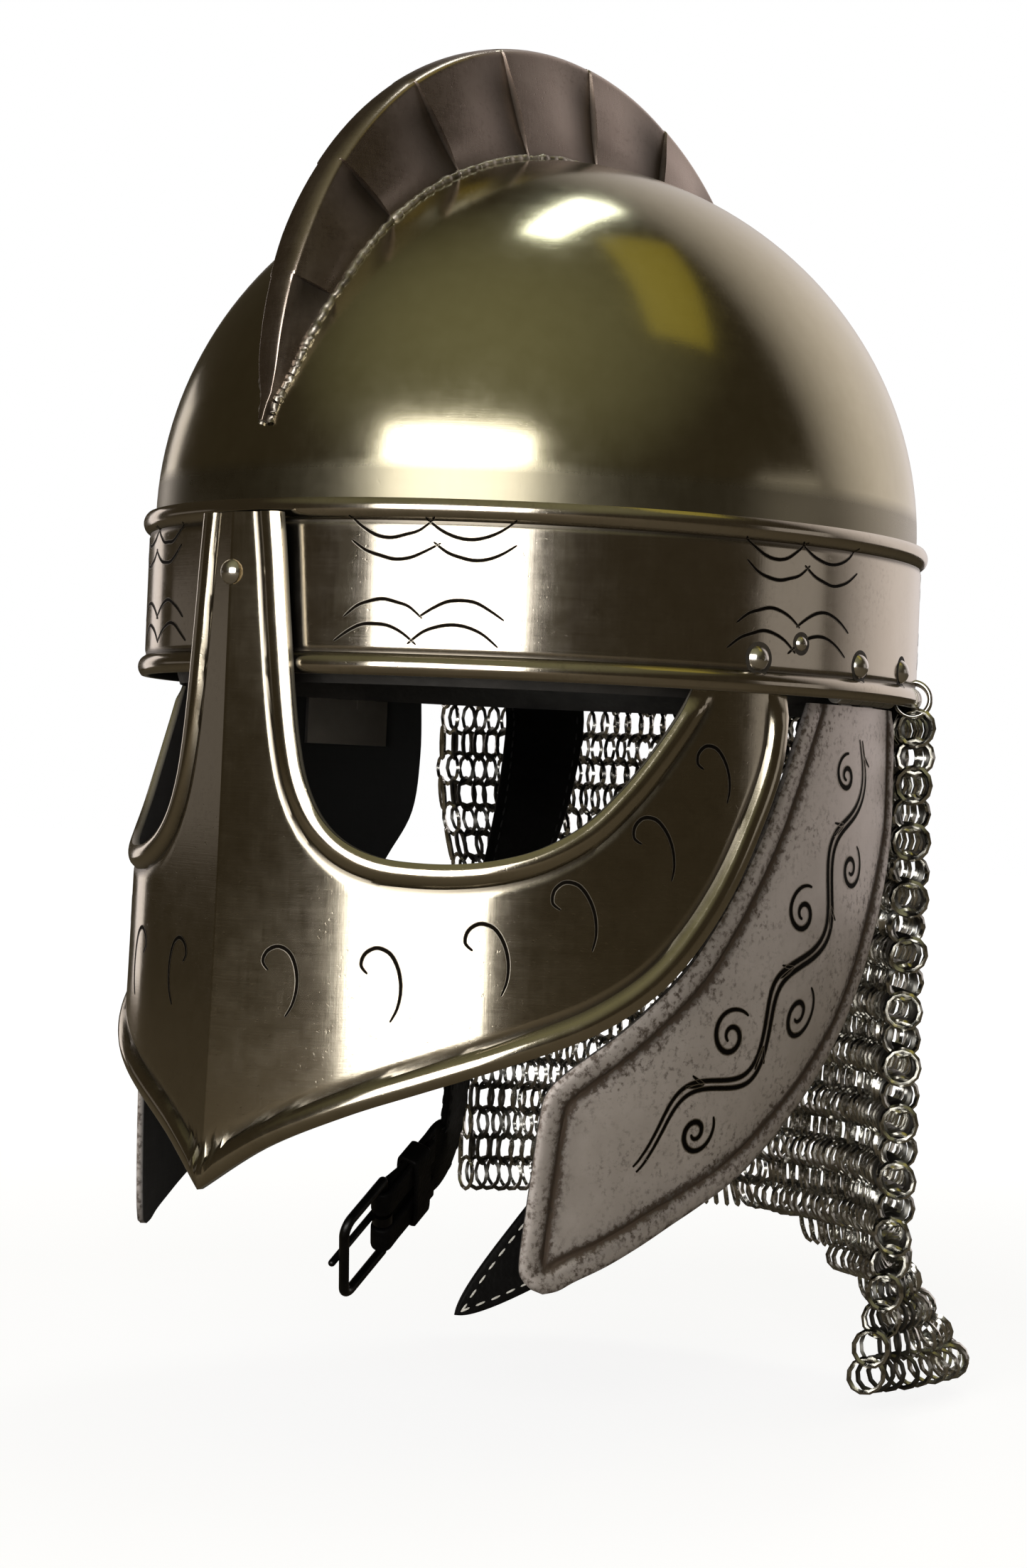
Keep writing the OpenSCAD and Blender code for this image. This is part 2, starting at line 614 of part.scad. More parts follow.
module strap_keeper() {
    wide = strap_w + 0.6;
    deep = strap_t + 2.8;
    wall_t = 2;
    color("#1c1a19") at_buckle() translate([0, -1.05, -20]) difference() {
        translate([-wide / 2 - wall_t, -deep / 2 - wall_t, 0])
            cube([wide + 2 * wall_t, deep + 2 * wall_t, 8]);
        translate([-wide / 2, -deep / 2, -1]) cube([wide, deep, 10]);
    }
}

// Closed loop of round rod with rounded corners
module buckle_frame() {
    bend = 4;
    x = frame_w / 2 - bend;
    color("#55534f") at_buckle() {
        rotate([0, 90, 0]) cylinder(r = bar_r, h = frame_w, center = true);
        for (s = [-1, 1]) {
            translate([s * frame_w / 2, 0, 0]) sphere(r = bar_r);
            translate([s * frame_w / 2, 0, 0]) cylinder(r = bar_r, h = frame_l - bend);
            translate([s * x, 0, frame_l - bend]) rotate([90, 0, 0]) rotate([0, 0, s > 0 ? 0 : 90])
                rotate_extrude(angle = 90) translate([bend, 0]) circle(r = bar_r);
        }
        translate([0, 0, frame_l]) rotate([0, 90, 0]) cylinder(r = bar_r, h = 2 * x, center = true);
    }
}

module buckle_prong() {
    ring = loop_in + 1.5;
    wide = 3.6;
    rod_r = 1.1;
    rise = bar_r + rod_r + 0.3;
    color("#6b6964") at_buckle() difference() {
        union() {
            rotate([0, 90, 0]) cylinder(r = ring, h = wide, center = true);
            translate([0, rise, 0]) cylinder(r = rod_r, h = frame_l + 2);
            translate([0, rise, frame_l + 2]) sphere(r = rod_r);
        }
        rotate([0, 90, 0]) cylinder(r = loop_in, h = 2 * wide, center = true);
    }
}

module strap_rivets() {
    color("#b5b2a8") for (s = [-1, 1])
        rivet(s * strap_a, strap_rivet_z, 0, strap_t - strap_out + 0.15, big_head, big_shank);
}

module strap_washers() {
    color("#a5a299") for (s = [-1, 1]) on_wall(s * strap_a, strap_rivet_z, band_in - 0.3 - washer_t)
        difference() {
            cylinder(r = washer_r, h = washer_t);
            translate([0, 0, -1]) cylinder(r = big_shank + rivet_fit, h = washer_t + 2);
        }
}

// Mail

wire_r = 0.75;
hanger_hole_z = 7.6;
hanger_n = 21;
strap_room = 8.5;
// Angles of the hanger rings, none where a chin strap passes
hanger_a = [for (i = [0:hanger_n - 1]) let (a = mix(mail_a + 0.5, 359.5 - mail_a, i / (hanger_n - 1)))
    if (abs(abs(a - 180) - (180 - strap_a)) > strap_room) a];

// Each ring goes through a hole over the band's lower bead and hangs under its edge
module aventail_hangers() {
    mean_r = ring_r - wire_r;
    color("#9b9a95") for (a = hanger_a)
        on_wall(a, hanger_hole_z - mean_r - 0.2, band_in / 2) rotate([0, 90, 0]) rotate_extrude()
            translate([mean_r, 0]) circle(r = wire_r, $fn = 24);
}

mail_top = -7;
mail_flare = 34;
mail_tuck = 9;
// Shares across the mail run from -1 at its left edge to 1 at its right edge
// Angle at share s and height z: the mail draws together as it hangs
function mail_at(s, z) = 180 + s * mix(180.5 - mail_a, 174.5 - mail_a, smooth((-20 - z) / 70));
// The hem hangs low at the front corner on the wearer's left, and is higher at the back and on the right
function mail_hem(s) = mix(mail_z + 42, mail_z, smooth((-s - 0.05) / 0.6));
// The low corner spreads out towards the back and tucks in at the front edge
function mail_off(s, z) =
    let (spread = smooth((1 - abs(s)) / 0.36))
    band_in / 2 + mix(-mail_tuck, mail_flare, spread) * pow(max(0, (-140 - z) / (-140 - mail_z)), 1.6);

// Each row of rings stands out in a ridge, the first one below the mail's top edge
mail_start = mail_top + 1.4;
mail_step = mail_row / 2;
mail_steps = floor((mail_top - mail_z) / mail_step);
function mail_ridge(z) =
    z > mail_top - 1 ? 0 : mail_rise * (0.5 + 0.5 * cos(360 * (mail_start - z) / mail_row));
function mail_face(s, z, h) = wall(mail_at(s, z), z, mail_off(s, z) + mail_ridge(z) + h);
// Heights in the middle of the rows and between them; those left over lie close together above the hem
function mail_levels(s) =
    let (h = mail_hem(s), close = 0.8, room = mail_start - h - close * (mail_steps + 1),
         n = min(mail_steps, floor(room / (mail_step - close))), low = mail_start - mail_step * n)
    concat([mail_top],
           [for (i = [1:mail_steps])
               i <= n ? mail_start - mail_step * i : mix(low, h, (i - n) / (mail_steps + 1 - n))],
           [h]);

module mail_aventail() {
    cols = 26;
    color("#86857f") skin([for (i = [0:cols])
        let (s = mix(-1, 1, i / cols), zs = mail_levels(s))
        concat([for (z = zs) mail_face(s, z, -mail_t / 2)],
               [for (z = reversed(zs)) mail_face(s, z, mail_t / 2)])]);
}

skull_bowl();
brow_band();
crest_comb();
face_mask();
nasal_rivet();
mask_end_rivets();
left_cheek_plate();
right_cheek_plate();
left_hinge_leaf();
right_hinge_leaf();
left_cheek_leaf();
right_cheek_leaf();
left_hinge_pin();
right_hinge_pin();
hinge_rivets();
liner_headband();
liner_crown();
liner_lace();
liner_rivets();
liner_spacers();
left_chin_strap();
right_chin_strap();
strap_rivets();
strap_washers();
strap_keeper();
buckle_frame();
buckle_prong();
aventail_hangers();
mail_aventail();
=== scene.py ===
import math
import bpy
import bmesh
import numpy as np
from itertools import product
from mathutils import Matrix


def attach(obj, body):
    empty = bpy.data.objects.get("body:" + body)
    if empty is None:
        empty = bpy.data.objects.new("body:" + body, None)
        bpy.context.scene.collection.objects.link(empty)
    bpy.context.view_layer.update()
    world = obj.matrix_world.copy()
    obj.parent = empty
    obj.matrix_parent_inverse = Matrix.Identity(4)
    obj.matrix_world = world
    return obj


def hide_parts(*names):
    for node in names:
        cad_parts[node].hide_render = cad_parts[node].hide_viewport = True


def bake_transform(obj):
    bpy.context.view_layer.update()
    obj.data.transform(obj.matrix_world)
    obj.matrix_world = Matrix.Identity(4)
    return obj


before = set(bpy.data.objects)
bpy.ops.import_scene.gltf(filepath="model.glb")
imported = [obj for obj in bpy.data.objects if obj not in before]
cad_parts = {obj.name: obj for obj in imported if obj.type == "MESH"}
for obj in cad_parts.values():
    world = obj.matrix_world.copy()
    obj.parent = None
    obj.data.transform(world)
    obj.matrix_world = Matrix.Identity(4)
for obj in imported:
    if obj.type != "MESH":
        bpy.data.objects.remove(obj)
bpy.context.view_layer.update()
scene = bpy.context.scene
print("frame loaded")

# Shapes are worked out in millimetres and put into the meshes in metres.
# Angles go round the helmet from the front, positive towards the wearer's left.
shell = {"halfW": 106.0, "halfL": 115.0, "bandH": 45.0, "bowlH": 106.0, "sheet": 1.3, "gap": 0.25}
lapOut = -shell["sheet"] - shell["gap"]
lapMid = lapOut - shell["sheet"] / 2
mm = 0.001  # metres in a millimetre
rng = np.random.default_rng(7)


def mix(a, b, t):  # a where t is 0, b where t is 1, straight between
    return a + (b - a) * t


def smooth(t):  # even S from 0 to 1
    c = np.clip(t, 0, 1)
    return c * c * (3 - 2 * c)


def unit(v):  # the same directions, 1 long
    return v / np.linalg.norm(v, axis=-1, keepdims=True)


def bell(d, width):  # 1 at the middle, falling away on both sides
    return np.exp(-(d / width) ** 2)


def squarish(wave, power):  # sine or cosine pushed out towards the corners of a box
    return np.sign(wave) * np.abs(wave) ** power


def around(steps):  # even steps of one full turn
    return np.linspace(0, 2 * np.pi, steps, endpoint=False)


def wallNormal(a):  # outward normal of the upright elliptical wall
    r = np.radians(a)
    v = np.stack([shell["halfL"] * np.sin(r), -shell["halfW"] * np.cos(r), 0 * r], -1)
    return unit(v)


def wall(a, z, off):  # point at angle a and height z, off millimetres out of the wall
    a, z, off = np.broadcast_arrays(np.asarray(a, float), np.asarray(z, float), np.asarray(off, float))
    r = np.radians(a)
    p = np.stack([shell["halfW"] * np.sin(r), -shell["halfL"] * np.cos(r), z], -1)
    return p + off[..., None] * wallNormal(a)


def sheetLayers(a, z, off, border):  # both faces of a sheet whose middle is off the wall, its border raised outside
    half = shell["sheet"] / 2
    return np.stack([wall(a, z, off + half + border), wall(a, z, off - half)])


def lengthAlong(points):  # millimetres from the first point to each one
    return np.concatenate([[0], np.cumsum(np.linalg.norm(np.diff(points, axis=0), axis=1))])


arcAngles = np.linspace(-260, 260, 5201)
arcMm = lengthAlong(wall(arcAngles, 0, 0))
arcMm -= np.interp(0, arcAngles, arcMm)


def toArc(a):  # millimetres along the wall from the front
    return np.interp(a, arcAngles, arcMm)


def toAngle(s):  # angle at that many millimetres
    return np.interp(s, arcMm, arcAngles)


def toChart(line):  # angles and heights laid out flat, in millimetres
    return np.stack([toArc(line[:, 0]), line[:, 1]], -1)


def curveAt(points, t):  # smooth curve through the points, t from 0 to len - 1
    p = np.asarray(points, float)
    t = np.asarray(t, float)
    n = len(p)
    i = np.clip(np.floor(t).astype(int), 0, n - 2)
    f = (t - i)[..., None]
    a, b, c, d = p[np.maximum(i - 1, 0)], p[i], p[i + 1], p[np.minimum(i + 2, n - 1)]
    return b + 0.5 * f * ((c - a) + f * ((2 * a - 5 * b + 4 * c - d) + f * (3 * (b - c) + d - a)))


# Meshes

def gridFaces(nu, nv, base=0, wrapU=False, wrapV=False):  # quads of a grid stored row by row
    i = np.arange(nu if wrapU else nu - 1)
    j = np.arange(nv if wrapV else nv - 1)
    u, v = np.meshgrid(i, j, indexing="ij")
    k, l = (u + 1) % nu, (v + 1) % nv
    return base + np.stack([u * nv + v, k * nv + v, k * nv + l, u * nv + l], -1).reshape(-1, 4)


def shellFaces(nu, nv, wrapU=False):  # outer grid, inner grid turned over, and the strips that join their edges
    m = nu * nv
    faces = [gridFaces(nu, nv, 0, wrapU), gridFaces(nu, nv, m, wrapU)[:, ::-1]]
    i = np.arange(nu + 1) % nu if wrapU else np.arange(nu)
    edges = [i * nv, (i * nv + nv - 1)[::-1]]
    if not wrapU:
        j = np.arange(nv)
        edges += [j[::-1], (nu - 1) * nv + j]
    for e in edges:
        faces.append(np.stack([e[1:], e[:-1], e[:-1] + m, e[1:] + m], -1))
    return np.concatenate(faces)


def makePiece(name, verts, faces, material, body, slot, nodes=(), sharp=35, attributes=None, merge=0):
    # points in millimetres and their faces as one smooth mesh; attributes hold a value for each point
    verts = np.asarray(verts, float).reshape(-1, 3) * mm
    mesh = bpy.data.meshes.new(name)
    mesh.vertices.add(len(verts))
    mesh.vertices.foreach_set("co", verts.ravel())
    mesh.loops.add(faces.size)
    mesh.loops.foreach_set("vertex_index", faces.ravel().astype(np.int32))
    mesh.polygons.add(len(faces))
    mesh.polygons.foreach_set("loop_start", np.arange(len(faces), dtype=np.int32) * faces.shape[1])
    mesh.update(calc_edges=True)
    for key, values in (attributes or {}).items():
        mesh.attributes.new(key, "FLOAT", "POINT").data.foreach_set("value", np.ravel(values).astype(np.float32))
    if merge:
        bm = bmesh.new()
        bm.from_mesh(mesh)
        bmesh.ops.remove_doubles(bm, verts=bm.verts, dist=merge * mm)
        bm.to_mesh(mesh)
        bm.free()
    mesh.validate()
    mesh.polygons.foreach_set("use_smooth", np.ones(len(mesh.polygons), bool))
    mesh.set_sharp_from_angle(angle=math.radians(sharp))
    piece = bpy.data.objects.new(name, mesh)
    scene.collection.objects.link(piece)
    mesh.materials.append(material)
    if nodes:
        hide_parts(*nodes)
    if body:
        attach(piece, body)
    print("made", name, len(mesh.polygons), "faces")
    return piece


def faceMarks(grimeAndShade):  # dirt and painted shade on the outer layer, and 1 on the inner one for its near-black painted shade
    return {"grimeAndShade": np.stack([grimeAndShade, 0 * grimeAndShade]), "inside": np.stack([0 * grimeAndShade, 0 * grimeAndShade + 1])}


def sideways(p):  # the same shape on the wearer's right
    return p * np.array([-1.0, 1.0, 1.0])


def mirrored(verts, faces):  # the same piece on the wearer's right, still facing out
    return sideways(verts), faces[:, ::-1]


def bothSides(p):  # rows that run up one side and on down the other
    return np.concatenate([p, sideways(p)[:, ::-1]], 1)


def rodFaces(rows, sides):  # walls of a closed profile carried along a path, and strips across its two ends
    j = np.arange(sides // 2 - 1)
    cap = np.stack([j, j + 1, sides - 2 - j, sides - 1 - j], -1)
    return np.concatenate([gridFaces(rows, sides, wrapV=True), cap, cap[:, ::-1] + (rows - 1) * sides])


def repeatFaces(one, points, copies):  # faces of one shape, again for each copy of its points
    return (one[None] + points * np.arange(copies)[:, None, None]).reshape(-1, 4)


def tube(path, radius, sides):  # round profile carried along a path
    along = unit(np.gradient(path, axis=0))
    lead = np.where(np.abs(along[:, 2:]) > 0.9, [[1.0, 0, 0]], [[0, 0, 1.0]])
    side = unit(np.cross(along, lead))
    lift = np.cross(side, along)
    a = around(sides)[None, :, None]
    verts = path[:, None] + radius[:, None, None] * (np.cos(a) * side[:, None] + np.sin(a) * lift[:, None])
    return verts, gridFaces(len(path), sides, wrapV=True)[:, ::-1]


def joined(parts):  # several (verts, faces) as one
    verts, faces, base = [], [], 0
    for v, f in parts:
        v = np.reshape(v, (-1, 3))
        verts.append(v)
        faces.append(f + base)
        base += len(v)
    return np.concatenate(verts), np.concatenate(faces)


def placed(x, y, z, at):  # matrix of three axes and a place, in metres
    matrix = Matrix(np.column_stack([x, y, z]).tolist()).to_4x4()
    matrix.translation = at
    return matrix


# Shader nodes

def feed(tree, socket, value):  # a number, colour or direction is set on the socket, an output is linked to it
    if isinstance(value, (int, float)):
        socket.default_value = value
    elif isinstance(value, tuple):
        socket.default_value = (*value, 1.0) if socket.type == "RGBA" else value
    else:
        tree.links.new(value, socket)


def feedAll(tree, node, values):  # the same for several sockets by name or number
    for key, value in values.items():
        feed(tree, node.inputs[key], value)


def addNode(tree, kind, values=None, **settings):  # a node with its settings, then its sockets
    node = tree.nodes.new(kind)
    for key, value in settings.items():
        setattr(node, key, value)
    feedAll(tree, node, values or {})
    return node


def mathNode(tree, operation, a, b, clamp=False):  # one operation on two values
    return addNode(tree, "ShaderNodeMath", {0: a, 1: b}, operation=operation, use_clamp=clamp).outputs[0]


def weighted(tree, a, x, b, y):  # a times x plus b times y
    return mathNode(tree, "ADD", mathNode(tree, "MULTIPLY", a, x), mathNode(tree, "MULTIPLY", b, y))


def noise(tree, vector, scale, detail=3.0, rough=0.55):  # cloudy value, about 0.5
    values = {"Vector": vector, "Scale": scale, "Detail": detail, "Roughness": rough}
    return addNode(tree, "ShaderNodeTexNoise", values).outputs["Fac"]


def stretched(tree, vector, scale, turn=(0, 0, 0)):  # place in the pattern, turned and scaled along each axis
    return addNode(tree, "ShaderNodeMapping", {"Vector": vector, "Scale": scale, "Rotation": turn}).outputs["Vector"]


def ranged(tree, value, low, high, outLow=0.0, outHigh=1.0):  # low to high carried over to outLow to outHigh
    values = {"Value": value, "From Min": low, "From Max": high, "To Min": outLow, "To Max": outHigh}
    return addNode(tree, "ShaderNodeMapRange", values).outputs["Result"]


def mixColour(tree, share, a, b):  # colour a, giving way to b as the share grows
    node = addNode(tree, "ShaderNodeMix", data_type="RGBA")
    for socket, value in zip([s for s in node.inputs if s.enabled], (share, a, b)):
        feed(tree, socket, value)
    return [s for s in node.outputs if s.enabled][0]


def objectPlace(tree):  # the piece's own coordinates
    return tree.nodes.new("ShaderNodeTexCoord").outputs["Object"]


def attribute(tree, name):  # value that the piece carries on its points
    return addNode(tree, "ShaderNodeAttribute", attribute_name=name).outputs["Fac"]


# Shader groups

def newGroup(name, inputs, outputs):  # empty group with named number sockets
    group = bpy.data.node_groups.new(name, "ShaderNodeTree")
    for key, value in inputs.items():
        group.interface.new_socket(key, in_out="INPUT", socket_type="NodeSocketFloat").default_value = value
    for key in outputs:
        group.interface.new_socket(key, in_out="OUTPUT", socket_type="NodeSocketFloat")
    return group, group.nodes.new("NodeGroupInput").outputs, group.nodes.new("NodeGroupOutput")


# rust is the colour of the rust specks; paint is the near-black painted shade of the hollow sides
steelLook = {"blotch": 170.0, "across": (60, 60, 2600), "slant": (1500, 1500, 70), "slantTurn": (0.5, 0.3, 0.2),
             "pits": 900.0, "specks": 620.0, "patches": 48.0, "bump": 0.0004,
             "rust": (0.07, 0.048, 0.034), "paint": (0.006, 0.006, 0.006)}


def buildSteelGroup():
    # broad tone drift, small blotches, buffing lines both ways, fine pits, and specks of rust in patches
    t, gin, gout = newGroup("buffedSteel", {"Drift Scale": 14.0, "Rough Low": 0.2, "Rough High": 0.4, "GrimeAndShade": 0.0,
                                            "Gather": 0.0}, ("Tone", "Roughness", "Height", "Specks"))
    pos = objectPlace(t)
    drift = noise(t, pos, gin["Drift Scale"], 5.0)
    blotch = noise(t, pos, steelLook["blotch"], 4.0, 0.6)
    across = noise(t, stretched(t, pos, steelLook["across"]), 1.0, 2.0)
    slant = noise(t, stretched(t, pos, steelLook["slant"], steelLook["slantTurn"]), 1.0, 2.0)
    pits = ranged(t, noise(t, pos, steelLook["pits"], 2.0), 0.66, 0.74)
    lines = weighted(t, across, 0.5, slant, 0.5)
    tone = ranged(t, weighted(t, drift, 0.65, blotch, 0.35), 0.25, 0.75)
    wearAndShade = weighted(t, tone, 0.55, lines, 0.45)
    rough = ranged(t, wearAndShade, 0.3, 0.75, gin["Rough Low"], gin["Rough High"])
    rough = mathNode(t, "ADD", rough, mathNode(t, "MULTIPLY", gin["GrimeAndShade"], 0.25), True)
    height = mathNode(t, "ADD", weighted(t, lines, 0.25, pits, -0.3), mathNode(t, "MULTIPLY", blotch, 0.35))
    crowd = mathNode(t, "MULTIPLY", gin["GrimeAndShade"], gin["Gather"])
    speck = noise(t, pos, steelLook["specks"], 4.0, 0.65)
    speck = mathNode(t, "ADD", speck, mathNode(t, "MULTIPLY", crowd, 0.3))
    patch = mathNode(t, "ADD", noise(t, pos, steelLook["patches"]), crowd)
    specks = mathNode(t, "MULTIPLY", ranged(t, speck, 0.52, 0.68), ranged(t, patch, 0.38, 0.66))
    feedAll(t, gout, {"Tone": tone, "Roughness": rough, "Height": height, "Specks": specks})
    return t


leatherLook = {"drift": 45.0, "crease": (160, 160, 420), "strength": 0.35, "bump": 0.0005}


def buildLeatherGroup():  # pebbled grain with creases, in a tone that drifts
    t, gin, gout = newGroup("leatherGrain", {"Grain Scale": 900.0}, ("Tone", "Height"))
    pos = objectPlace(t)
    cells = addNode(t, "ShaderNodeTexVoronoi", {"Vector": pos, "Scale": gin["Grain Scale"]}, feature="SMOOTH_F1")
    crease = noise(t, stretched(t, pos, leatherLook["crease"]), 1.0, 4.0)
    tone = weighted(t, noise(t, pos, leatherLook["drift"], 4.0), 0.7, crease, 0.3)
    height = weighted(t, cells.outputs["Distance"], 0.7, crease, 0.5)
    feedAll(t, gout, {"Tone": ranged(t, tone, 0.35, 0.65), "Height": height})
    return t


steelGroup = buildSteelGroup()
leatherGroup = buildLeatherGroup()


# Materials

def newMaterial(name):  # a material, its nodes and its shader
    material = bpy.data.materials.new(name)
    material.use_nodes = True
    t = material.node_tree
    return material, t, t.nodes["Principled BSDF"]


def addRelief(tree, bsdf, height, strength, distance):  # bump into the shader's normal
    bump = addNode(tree, "ShaderNodeBump", {"Height": height, "Strength": strength, "Distance": distance})
    feed(tree, bsdf.inputs["Normal"], bump.outputs["Normal"])


def steelMaterial(name, dark, light, rough, bump, drift=14.0, grimeAndShadeTone=(0.05, 0.04, 0.03), grimeAndShade=True,
                  inside=False, metal=1.0, specks=0.0, gather=0.0):  # tone from dark to light, then dirt and painted shade, rust, and painted shade on the hollow side
    material, t, bsdf = newMaterial(name)
    group = addNode(t, "ShaderNodeGroup", {"Drift Scale": drift, "Rough Low": rough[0], "Rough High": rough[1],
                                           "Gather": gather}, node_tree=steelGroup)
    colour = mixColour(t, group.outputs["Tone"], dark, light)
    if grimeAndShade:  # dirt in the grooves, and painted shade on the crest's panels and the mail's rings, from the piece's own attribute
        grimeAndShadeMark = attribute(t, "grimeAndShade")
        feed(t, group.inputs["GrimeAndShade"], grimeAndShadeMark)
        colour = mixColour(t, grimeAndShadeMark, colour, grimeAndShadeTone)
    if specks:  # rust, which may gather beside the grooves
        rusty = mathNode(t, "MULTIPLY", group.outputs["Specks"], specks)
        colour = mixColour(t, rusty, colour, steelLook["rust"])
    rough = group.outputs["Roughness"]
    if inside:  # near-black painted shade on the hollow side, from the piece's own attribute
        hollowShade = attribute(t, "inside")
        colour = mixColour(t, hollowShade, colour, steelLook["paint"])
        rough = mathNode(t, "ADD", rough, mathNode(t, "MULTIPLY", hollowShade, 0.4), True)
        metal = ranged(t, hollowShade, 0.0, 1.0, metal, 0.0)
    feedAll(t, bsdf, {"Base Color": colour, "Roughness": rough, "Metallic": metal})
    addRelief(t, bsdf, group.outputs["Height"], bump, steelLook["bump"])
    return material


def leatherMaterial(name, dark, light, rough, grain=900.0, shine=0.5):  # smoother where the tone is lighter
    material, t, bsdf = newMaterial(name)
    group = addNode(t, "ShaderNodeGroup", {"Grain Scale": grain}, node_tree=leatherGroup)
    tone = group.outputs["Tone"]
    feedAll(t, bsdf, {"Base Color": mixColour(t, tone, dark, light), "Specular IOR Level": shine,
                      "Roughness": ranged(t, tone, 0.0, 1.0, rough[1], rough[0])})
    addRelief(t, bsdf, group.outputs["Height"], leatherLook["strength"], leatherLook["bump"])
    return material


def grooveMaterial(name, floor, lip):  # cut line: dark floor, bright lips, by the attribute across the cut
    material, t, bsdf = newMaterial(name)
    speck = mathNode(t, "MULTIPLY", noise(t, objectPlace(t), 1400.0, 2.0), 0.25)
    cut = ranged(t, mathNode(t, "ADD", attribute(t, "depth"), speck), 0.2, 0.5)
    feedAll(t, bsdf, {"Base Color": mixColour(t, cut, lip, floor), "Metallic": 1.0,
                      "Roughness": ranged(t, cut, 0.0, 1.0, 0.3, 0.7)})
    return material


def threadMaterial(name, dark, light):  # twisted thread: fine slanted lay
    material, t, bsdf = newMaterial(name)
    lay = noise(t, stretched(t, objectPlace(t), (900, 900, 2600), (0.6, 0.4, 0.0)), 1.0, 2.0)
    feedAll(t, bsdf, {"Base Color": mixColour(t, ranged(t, lay, 0.35, 0.65), dark, light), "Roughness": 0.8})
    addRelief(t, bsdf, lay, 0.4, 0.0003)
    return material


# Steel: dark and light tone, least and most roughness, bump, fineness of the tone's drift
bowlSteel = steelMaterial("bowlSteel", (0.42, 0.38, 0.26), (0.52, 0.48, 0.35), (0.13, 0.22), 0.06, inside=True)
bandSteel = steelMaterial("bandSteel", (0.46, 0.41, 0.33), (0.56, 0.51, 0.43), (0.10, 0.20), 0.07, 18.0,
                          inside=True, specks=0.18)
maskSteel = steelMaterial("maskSteel", (0.46, 0.41, 0.32), (0.56, 0.51, 0.41), (0.10, 0.20), 0.07, 16.0,
                          inside=True, specks=0.15)
crestSteel = steelMaterial("crestSteel", (0.36, 0.29, 0.25), (0.47, 0.40, 0.35), (0.22, 0.34), 0.14, 26.0,
                           inside=True, specks=0.3)
plateSteel = steelMaterial("plateSteel", (0.46, 0.41, 0.38), (0.66, 0.60, 0.57), (0.30, 0.46), 0.20, 22.0,
                           inside=True, metal=0.7, specks=0.85, gather=0.65)
# the rings' near-black second tone is the colour of their painted shade
ringSteel = steelMaterial("ringSteel", (0.46, 0.45, 0.42), (0.82, 0.81, 0.76), (0.10, 0.24), 0.12, 70.0,
                          grimeAndShadeTone=(0.02, 0.018, 0.014))
plainSteel = steelMaterial("plainSteel", (0.30, 0.28, 0.25), (0.42, 0.40, 0.37), (0.3, 0.5), 0.2, 40.0, grimeAndShade=False)
rivetSteel = steelMaterial("rivetSteel", (0.60, 0.57, 0.52), (0.76, 0.73, 0.68), (0.14, 0.28), 0.12, 60.0, grimeAndShade=False)
buckleSteel = steelMaterial("buckleSteel", (0.02, 0.02, 0.02), (0.06, 0.06, 0.058), (0.3, 0.5), 0.2, 60.0, grimeAndShade=False)
weldSteel = steelMaterial("weldSteel", (0.07, 0.055, 0.045), (0.78, 0.72, 0.63), (0.3, 0.55), 0.8, 160.0, grimeAndShade=False)
cutLine = grooveMaterial("cutLine", (0.010, 0.008, 0.006), (0.40, 0.36, 0.30))
# Leather, thread and the dark seats of the rivets
strapLeather = leatherMaterial("strapLeather", (0.002, 0.0018, 0.0017), (0.006, 0.0055, 0.0053), (0.46, 0.6),
                               shine=0.08)
linerLeather = leatherMaterial("linerLeather", (0.012, 0.011, 0.010), (0.032, 0.028, 0.025), (0.5, 0.68), 700.0)
seatShade = leatherMaterial("seatShade", (0.010, 0.008, 0.006), (0.035, 0.028, 0.020), (0.5, 0.7), 1500.0)
whiteThread = threadMaterial("whiteThread", (0.42, 0.40, 0.36), (0.72, 0.70, 0.65))
blackThread = threadMaterial("blackThread", (0.004, 0.0038, 0.0036), (0.012, 0.0115, 0.011))
lacingCord = threadMaterial("lacingCord", (0.03, 0.025, 0.02), (0.09, 0.075, 0.06))
print("materials ready")

# Bowl

bowlLook = {"rim": 22.0, "around": 180, "lapRows": 4, "rows": 46, "wave": 0.22, "dirtRows": 6, "dirt": 0.5}


def bowlSurface(inset):  # upright wall to the band's top, then an ellipsoid; a slight wave from raising the metal
    w, l, h = shell["halfW"] + lapOut - inset, shell["halfL"] + lapOut - inset, shell["bowlH"] - inset
    a = np.radians(np.linspace(0, 360, bowlLook["around"], endpoint=False))[:, None]
    lap, dome = bowlLook["lapRows"], bowlLook["rows"]
    t = np.radians(np.concatenate([np.zeros(lap), np.linspace(2, 90, dome)]))[None]
    z = np.concatenate([np.linspace(bowlLook["rim"], shell["bandH"], lap), np.full(dome, shell["bandH"])])[None]
    wave = bowlLook["wave"] * np.sin(3 * a + 1) * np.sin(4 * t) * np.cos(t)
    return np.stack([(w + wave) * np.cos(t) * np.sin(a), -(l + wave) * np.cos(t) * np.cos(a),
                     z + (h + wave) * np.sin(t) + 0 * a], -1)


outer, inner = bowlSurface(0.0), bowlSurface(shell["sheet"])
grimeAndShade = np.zeros(outer.shape[:2])
grimeAndShade[:, :bowlLook["dirtRows"]] = bowlLook["dirt"]
makePiece("bowl", np.stack([outer, inner]), shellFaces(*grimeAndShade.shape, True), bowlSteel, "helmet", "satin_steel",
          ["skull_bowl"], attributes={**faceMarks(grimeAndShade), "grimeAndShade": np.stack([grimeAndShade, grimeAndShade])}, merge=0.001)

# Brow band

bandLook = {"around": 320, "bead": 1.8, "beadMid": 2.5, "beadHalf": 3.0, "groove": 0.28, "grooveAt": 5.9,
            "dirt": 0.8, "edgeDirt": 0.25}


def bandEdge(z):  # height from the nearer edge of the band
    return np.minimum(z, shell["bandH"] - z)


